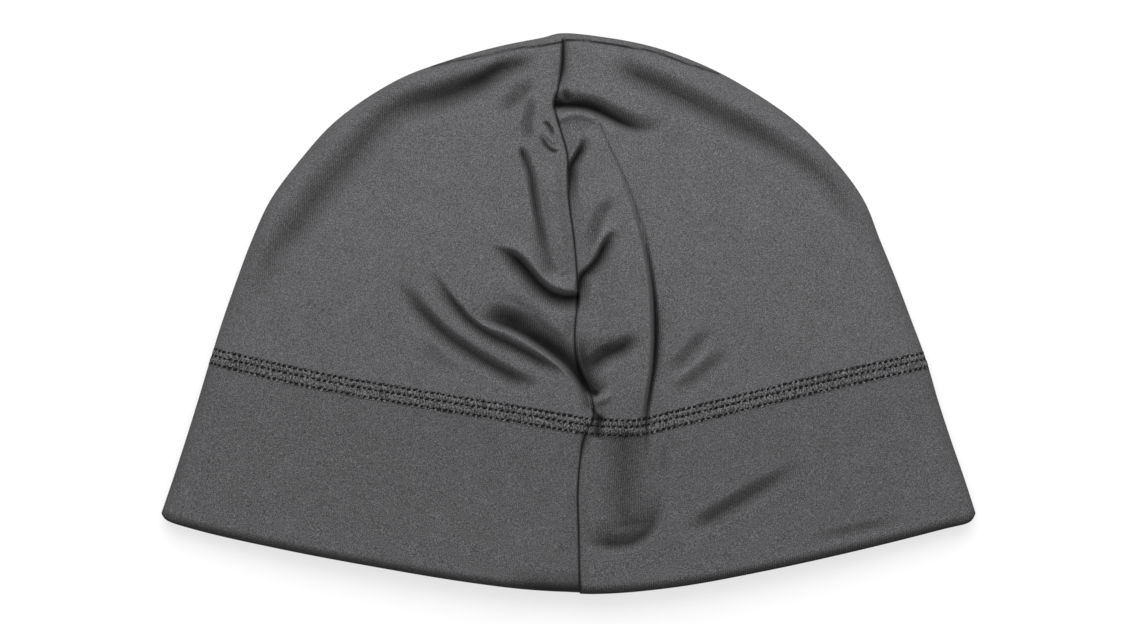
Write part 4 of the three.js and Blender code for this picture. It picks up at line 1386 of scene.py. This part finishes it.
# Each path runs from the fold's first place to its last, in millimetres.
# The last number of each row is painted shade in the colour, and below 0 a painted highlight.
FOLDS = (
    Fold("shade of the top seam", Side.BOTH, -0.9, 3.4, 1.5, 0.04, 0.45, 0.3, 0.7,
         ((-1.9, 95), (-2, 90), (-2.15, 86), (-2.9, 80.5), (-4, 76))),
    Fold("core of the top seam", Side.BOTH, -0.3, 1.5, 0.8, 0.06, 0.4, 0.3, 0.95,
         ((-1.9, 94.4), (-1.85, 90), (-2, 86), (-2.7, 81), (-3.6, 77))),
    Fold("left rim hollow", Side.LEFT, -3.0, 9, 8.5, 0.15, 0.35, 0.0, 0.57,
         ((-20, 85.5), (-33, 79), (-45, 75), (-54, 73), (-62, 69), (-70, 60), (-78, 50.5), (-87, 40),
          (-94.5, 30), (-102.5, 20), (-108, 10), (-113, 0), (-117, -8))),
    Fold("left rim crease", Side.LEFT, -3.0, 5, 5.5, 0.2, 0.7, 0.1, 0.75,
         ((-9, 89), (-15, 86.6), (-20, 85.2), (-25, 83.6), (-30, 80.6), (-35, 78.4), (-40, 76), (-46, 74),
          (-53, 73.8), (-60, 72))),
    Fold("left rim shade", Side.LEFT, -1.2, 7, 7, 0.4, 0.4, 0.0, 0.4,
         ((-28, 79.5), (-42, 75), (-52, 72), (-66, 66))),
    Fold("left rim tuck", Side.LEFT, -1.6, 7, 2.6, 0.35, 0.45, 0.2, 0.72,
         ((-16.5, 87.8), (-22.5, 85.8), (-26, 83.6), (-30, 81), (-34, 79.4), (-40, 77.4))),
    Fold("right rim hollow", Side.RIGHT, -3.0, 5.8, 7, 0.2, 0.6, 0.0, 0.78,
         ((12, 87), (20, 83.8), (30, 79.2), (40, 74.4), (50, 69.2), (60, 64), (70, 59), (80, 54))),
    Fold("low right rim hollow", Side.RIGHT, -2.6, 6.5, 7, 0.3, 0.5, 0.0, 0.58,
         ((44, 72), (60, 64), (70, 58.7), (80, 53), (90, 44.8), (98, 33), (104, 20))),
    Fold("tuck under the top", Side.RIGHT, -5.4, 5.4, 2.8, 0.0, 0.5, 0.5, 1.0,
         ((-5, 71.4), (0, 71.4), (5, 71), (9, 69.9), (13, 68.1), (17, 66.1), (21, 64.4), (25, 63.5),
          (31, 63.6), (37, 64.8))),
    Fold("floor of the tuck", Side.RIGHT, -0.6, 2.4, 1.6, 0.05, 0.4, 0.3, 0.92,
         ((-4.6, 71.4), (0, 71.5), (5, 71.3), (9, 70.4), (13, 68.6), (17, 66.6))),
    Fold("lobe of the tuck", Side.RIGHT, -1.6, 2.2, 2.2, 0.5, 0.3, 0.0, 0.7,
         ((-1.2, 78), (-1.2, 75.5), (0.5, 72.5))),
    Fold("ridge below the tuck", Side.RIGHT, 1.4, 1.8, 2.4, 0.05, 0.5, 0.0, -0.16,
         ((-4, 66.4), (0, 68.1), (4, 68.5), (8, 67.3), (11, 65.2), (13.5, 62))),
    Fold("line below the ridge", Side.RIGHT, -0.3, 2, 4.5, 0.25, 0.5, 0.0, 0.2,
         ((-3, 63.2), (0.5, 64.8), (4, 65.2), (7.5, 64.2), (10, 62))),
    Fold("second left crease", Side.LEFT, -2.0, 2.6, 4.4, 0.35, 0.4, 0.0, 0.5,
         ((-10.5, 80.5), (-15, 76.5), (-19, 72.5), (-25, 67.5))),
    Fold("soft groove left of the seam", Side.LEFT, -1.7, 2.2, 3, 0.3, 0.25, 0.0, 0.5,
         ((-11.8, 75), (-13.2, 69), (-14, 64), (-13.2, 58.5))),
    Fold("groove left of the seam", Side.LEFT, -3.0, 2.6, 1.9, 0.08, 0.5, 0.6, 0.7,
         ((-16.4, 57.5), (-15.6, 54), (-14.5, 51), (-13.1, 47), (-12.3, 42), (-11.4, 36), (-10.4, 31),
          (-9.2, 26), (-8.2, 21), (-7, 16.5))),
    Fold("end of the groove", Side.LEFT, -1.2, 2.4, 5.0, 0.35, 0.2, 0.0, 0.48,
         ((-11, 34), (-9.8, 28), (-8.6, 22), (-7.4, 17.5), (-4.4, 11.6))),
    Fold("tube left of the seam", Side.LEFT, 1.6, 5, 5, 0.3, 0.3, 0.0, 0,
         ((-8, 56), (-7, 46), (-5, 34), (-3, 22), (-1, 12))),
    Fold("curl one", Side.LEFT, -1.7, 1.0, 1.4, 0.25, 0.35, 0.2, 0.6,
         ((-9.2, 65.3), (-7.3, 64.9), (-6, 63), (-4.9, 60))),
    Fold("curl two", Side.LEFT, -1.7, 1.0, 1.5, 0.3, 0.3, 0.2, 0.6,
         ((-9.8, 61.3), (-8.1, 58), (-6.1, 56), (-2.6, 54.9))),
    Fold("ridge between the curls", Side.LEFT, 0.8, 1.2, 1.2, 0.3, 0.3, 0.0, -0.22,
         ((-8.6, 62.8), (-6.6, 60.2), (-4, 57.6))),
    Fold("left hook ridge", Side.LEFT, 2.4, 4.2, 1.6, 0.4, 0.05, 0.0, -0.1,
         ((-25, 22.8), (-18, 21.9), (-14, 18.8), (-10, 14), (-6, 10.2), (-2, 8.5), (3, 7.8))),
    Fold("left hook hollow", Side.LEFT, -5.0, 2.1, 6.5, 0.35, 0.0, 0.5, 1.0,
         ((-28, 22.3), (-20, 20.2), (-16.5, 17.5), (-13, 13.6), (-10, 10.1), (-6, 6.9), (-2, 5.7),
          (3.3, 5.5))),
    Fold("big valley", Side.LEFT, -6.2, 7.5, 2.7, 0.3, 0.12, 0.3, 0.95,
         ((-33, 0), (-28, -2), (-20, -4.5), (-15, -7), (-10, -10.2), (-5, -13.8), (0, -18), (3, -21.8),
          (6, -26), (9, -29))),
    Fold("head of the big valley", Side.LEFT, -1.8, 4, 4, 0.4, 0.4, 0.0, 0.45,
         ((-29, -0.4), (-21, -1.6), (-12, -4.8))),
    Fold("floor of the big valley", Side.LEFT, -0.8, 4.0, 1.9, 0.35, 0.05, 0.2, 0.7,
         ((-18, -5.4), (-10, -9.4), (-5, -12.5), (0, -16.5), (3.4, -20.8), (6.4, -25), (9, -28))),
    Fold("swell above the big valley", Side.LEFT, 1.6, 8, 4, 0.4, 0.2, 0.0, 0,
         ((-28, 8), (-17, 6.5), (-8, 0), (0, -9))),
    Fold("ridge below the big valley", Side.LEFT, 1.4, 1.8, 2.0, 0.25, 0.3, 0.0, -0.22,
         ((-33, -2.2), (-20, -7.2), (-10, -12.8), (-4, -17), (2, -23.4))),
    Fold("second valley", Side.LEFT, -3.2, 1.8, 4.6, 0.3, 0.22, 0.4, 0.8,
         ((-49, 16.5), (-44.5, 10.5), (-41, 5.5), (-38, 2), (-34.5, -2), (-30, -5.5), (-25, -8.3),
          (-20, -10.6), (-15, -13.2), (-10, -15.9), (-5, -19.1), (0, -22.8))),
    Fold("third valley", Side.LEFT, -3.2, 3.2, 5, 0.25, 0.2, 0.3, 0.82,
         ((-60, 12), (-55, 6.5), (-50, 0.5), (-45, -4.8), (-40, -9), (-35, -12.4), (-25, -18.6),
          (-16, -23.2), (-8.5, -26))),
    Fold("fourth valley", Side.LEFT, -1.0, 4, 6, 0.4, 0.4, 0.0, 0.12, ((-52, -10), (-45, -17), (-37, -23))),
    Fold("notch right of the seam", Side.RIGHT, -4.2, 3.4, 1.5, 0.25, 0.55, 0.3, 0.95,
         ((6.1, 61.2), (4.6, 57.3), (2.7, 53.8), (0.8, 50.5), (0.3, 46.5), (0.4, 36))),
    Fold("shade right of the seam", Side.RIGHT, -0.5, 5, 1, 0.3, 0.5, 0.0, 0.4,
         ((2.2, 52), (0.6, 46), (0.4, 40), (1.4, 30))),
    Fold("right soft hollow", Side.RIGHT, -1.8, 2.2, 3.8, 0.25, 0.5, 0.0, 0.5,
         ((17, 38.2), (12.8, 35.2), (10.6, 32), (9, 28), (7.4, 22), (6.6, 18))),
    Fold("right slant ridge", Side.RIGHT, 1.2, 2.4, 2.2, 0.4, 0.3, 0.0, -0.3,
         ((17, 31), (12.2, 27.6), (9.2, 22.8), (6.5, 18))),
    Fold("right slant hollow", Side.RIGHT, -4.6, 4.6, 1.5, 0.3, 0.35, 0.5, 0.92,
         ((18.5, 28), (14, 25.8), (11.8, 22.5), (9.8, 18.6), (7, 15.2), (4.4, 12.8), (3.5, 9.5), (3.3, 5),
          (3, -1))),
    Fold("low hollow right of the seam", Side.RIGHT, -3.8, 5.2, 4.0, 0.3, 0.35, 0.4, 0.93,
         ((25, -8.7), (20.5, -10.4), (16.5, -12.7), (13, -14.2), (10, -16.2), (7, -18.8), (4.6, -22.5))),
    Fold("slope of the low hollow", Side.RIGHT, -1.0, 3.5, 4.5, 0.45, 0.3, 0.0, 0.5,
         ((19, -9.6), (14, -11.6), (6, -14))),
    Fold("half dark right of the seam", Side.RIGHT, -1.2, 6, 4.6, 0.4, 0.06, 0.0, 0.88,
         ((3.6, -5.5), (4.6, -14), (6.2, -20.5), (8.2, -25.5), (10.2, -28.6))),
    Fold("dark foot of the seam", Side.BOTH, -1.4, 1.4, 1.5, 0.4, 0.06, 0.3, 1.0,
         ((2.3, -14), (4.3, -20.6), (6.1, -24.2), (8, -27), (10.4, -28.3))),
    Fold("shade left of the foot", Side.LEFT, -0.5, 3, 3.5, 0.25, 0.3, 0.0, 0.62,
         ((4.6, -24), (6, -28.5), (7, -34.5))),
    Fold("curl at the foot", Side.RIGHT, 1.4, 1.8, 2.2, 0.15, 0.3, 0.0, -0.25,
         ((7.6, -32), (8.4, -30.6), (10.4, -30), (12.6, -29), (14.6, -26.4))),
    Fold("line under the curl", Side.RIGHT, -1.2, 1.2, 1.2, 0.15, 0.05, 0.3, 0.85,
         ((7.8, -32.4), (9.3, -34.6), (11.8, -37))),
    # painted shadow of the fold above, falling on the strip
    Fold("painted shadow on the strip", Side.BOTH, -0.4, 3.4, 3.6, 0.2, 0.3, 0.0, 1.0,
         ((10.6, -34), (10.2, -38.5), (9, -44))),
    Fold("dark head of the band's seam", Side.BOTH, -0.3, 2.2, 1.8, 0.15, 0.6, 0.0, 0.65,
         ((7.2, -40.5), (5, -44.6), (4.1, -51))),
    Fold("pleat", Side.RIGHT, 4.4, 1.5, 22, 0.55, 0.25, 0.0, 0,
         ((8.9, 66), (11.8, 59), (14.4, 53), (17.7, 46), (21.6, 35), (24.4, 25), (26.3, 15), (27.4, 5),
          (27.8, -6), (27.4, -18), (25.9, -28), (24.9, -36), (25.2, -42), (25.1, -52))),
    Fold("foot of the pleat", Side.RIGHT, -1.9, 1.5, 0.9, 0.4, 0.33, 0.5, 1.0,
         ((21.4, 41.5), (24.5, 32), (26.2, 25), (28, 15), (29.3, 5), (29.7, -6), (29.2, -18), (27.7, -28),
          (26.6, -36), (26.8, -42), (26.6, -56))),
    Fold("soft foot of the pleat", Side.RIGHT, -1.2, 4, 1.3, 0.4, 0.4, 0.3, 0.7,
         ((28.8, 9), (29.6, -2), (29.6, -11), (28.9, -20), (27.6, -28))),
    Fold("right crease one", Side.RIGHT, -1.8, 2.6, 4, 0.35, 0.35, 0.0, 0.32,
         ((50, -5), (44, -11.5), (39, -17), (33.5, -22.5))),
    Fold("right crease ridge", Side.RIGHT, 1.0, 2.4, 2.2, 0.35, 0.3, 0.0, -0.2,
         ((52, -9.5), (44.5, -16.5), (39, -21), (34, -25.5))),
    Fold("right crease two", Side.RIGHT, -1.3, 4.6, 2.6, 0.35, 0.35, 0.0, 0.26,
         ((56, -12), (47.5, -19.5), (41.5, -24.5), (35, -28))),
    Fold("band hollow", Side.RIGHT, -2.4, 4.2, 5, 0.25, 0.45, 0.2, 0.62,
         ((39.5, -76.5), (48, -71.2), (56, -66.2), (65, -61), (75, -55.5), (83, -50.5))),
    Fold("low band hollow", Side.RIGHT, -1.0, 3, 3.4, 0.4, 0.5, 0.0, 0.28,
         ((80, -78.6), (95, -75.8), (106, -73.4), (121, -69.6))),
    Fold("band dent", Side.RIGHT, -1.4, 12, 11, 0.08, 0.1, 0.0, 0.5, ((18.8, -40), (19.2, -60), (20.4, -76))),
    Fold("foot of the band dent", Side.RIGHT, -2.4, 8.2, 3.4, 0.25, 0.5, 0.0, 0.82,
         ((4.5, -77.6), (10, -79), (16, -79.6), (22, -78.6), (27, -75), (30, -69), (32, -59))),
    Fold("hem left of the seam", Side.LEFT, -0.5, 7.5, 3, 0.6, 0.0, 0.0, 0.85,
         ((-26, -92.6), (-12, -94.6), (3.6, -95.4))),
    Fold("band crease", Side.RIGHT, -0.6, 2, 2, 0.3, 0.5, 0.0, 0.2, ((33.2, -44), (32.8, -60))),
)

# The third number of each row is the painted shade along the groove.
GROOVES = (
    Groove("back seam", 0.6, 0.42, 0.97, (*CapForm.seam_path[:-1], (-1.9, 94.2))),
    Groove("line of the pleat", 0.2, 0.42, 0.4,
           ((10.8, 64.8), (12, 62), (14.2, 57), (17.4, 50.5), (20, 44.8), (22.4, 38.5), (24.5, 31.5))),
    Groove("left top dart", 1.0, 0.38, 0.8,
           ((-2, 93.3), (-10, 92), (-16, 91.5), (-20, 90.9), (-25, 89.7), (-30, 88.5), (-40, 86.8),
            (-47, 85.2))),
    Groove("right top dart", 1.0, 0.36, 0.97,
           ((-1, 94), (5, 94), (10, 93.3), (20, 91.7), (30, 90), (35, 88.2), (40, 86.3), (45, 84.8),
            (52, 82.5))),
)


def main() -> None:
    """Builds the cap and the studio round it."""
    logging.basicConfig(level=logging.INFO, format="%(name)s: %(message)s")
    form = CapForm(folds=FOLDS, grooves=GROOVES)
    crown_jersey = HeatheredJersey("crown_jersey").material()
    # the band's jersey is a darker copy of the crown's: painted shade for a band that lies tilted away from
    # the lamp
    band_jersey = HeatheredJersey("band_jersey", "#2d2d2e", "#414142", "#58585a").material()
    strip_jersey = HeatheredJersey("strip_jersey", "#161617", "#363637", "#636364", 0.5).material()
    dark_thread = SpunThread("dark_spun_polyester", "#060607").material()
    pale_thread = SpunThread("grey_spun_polyester", "#636365").material()
    seam = JoiningSeam(form, strip_jersey)
    pieces = [
        CrownPanel(form, Side.LEFT, crown_jersey).build(),
        CrownPanel(form, Side.RIGHT, crown_jersey).build(),
        seam.build(),
        Headband(form, band_jersey).build(),
        *SeamStitches(seam, dark_thread, pale_thread).build(),
    ]
    for piece in pieces:
        count = sum(len(face.vertices) - 2 for face in piece.data.polygons)
        LOG.info("%s: %d triangles", piece.name, count)
    Studio().build()


if __name__ == "__main__":
    main()
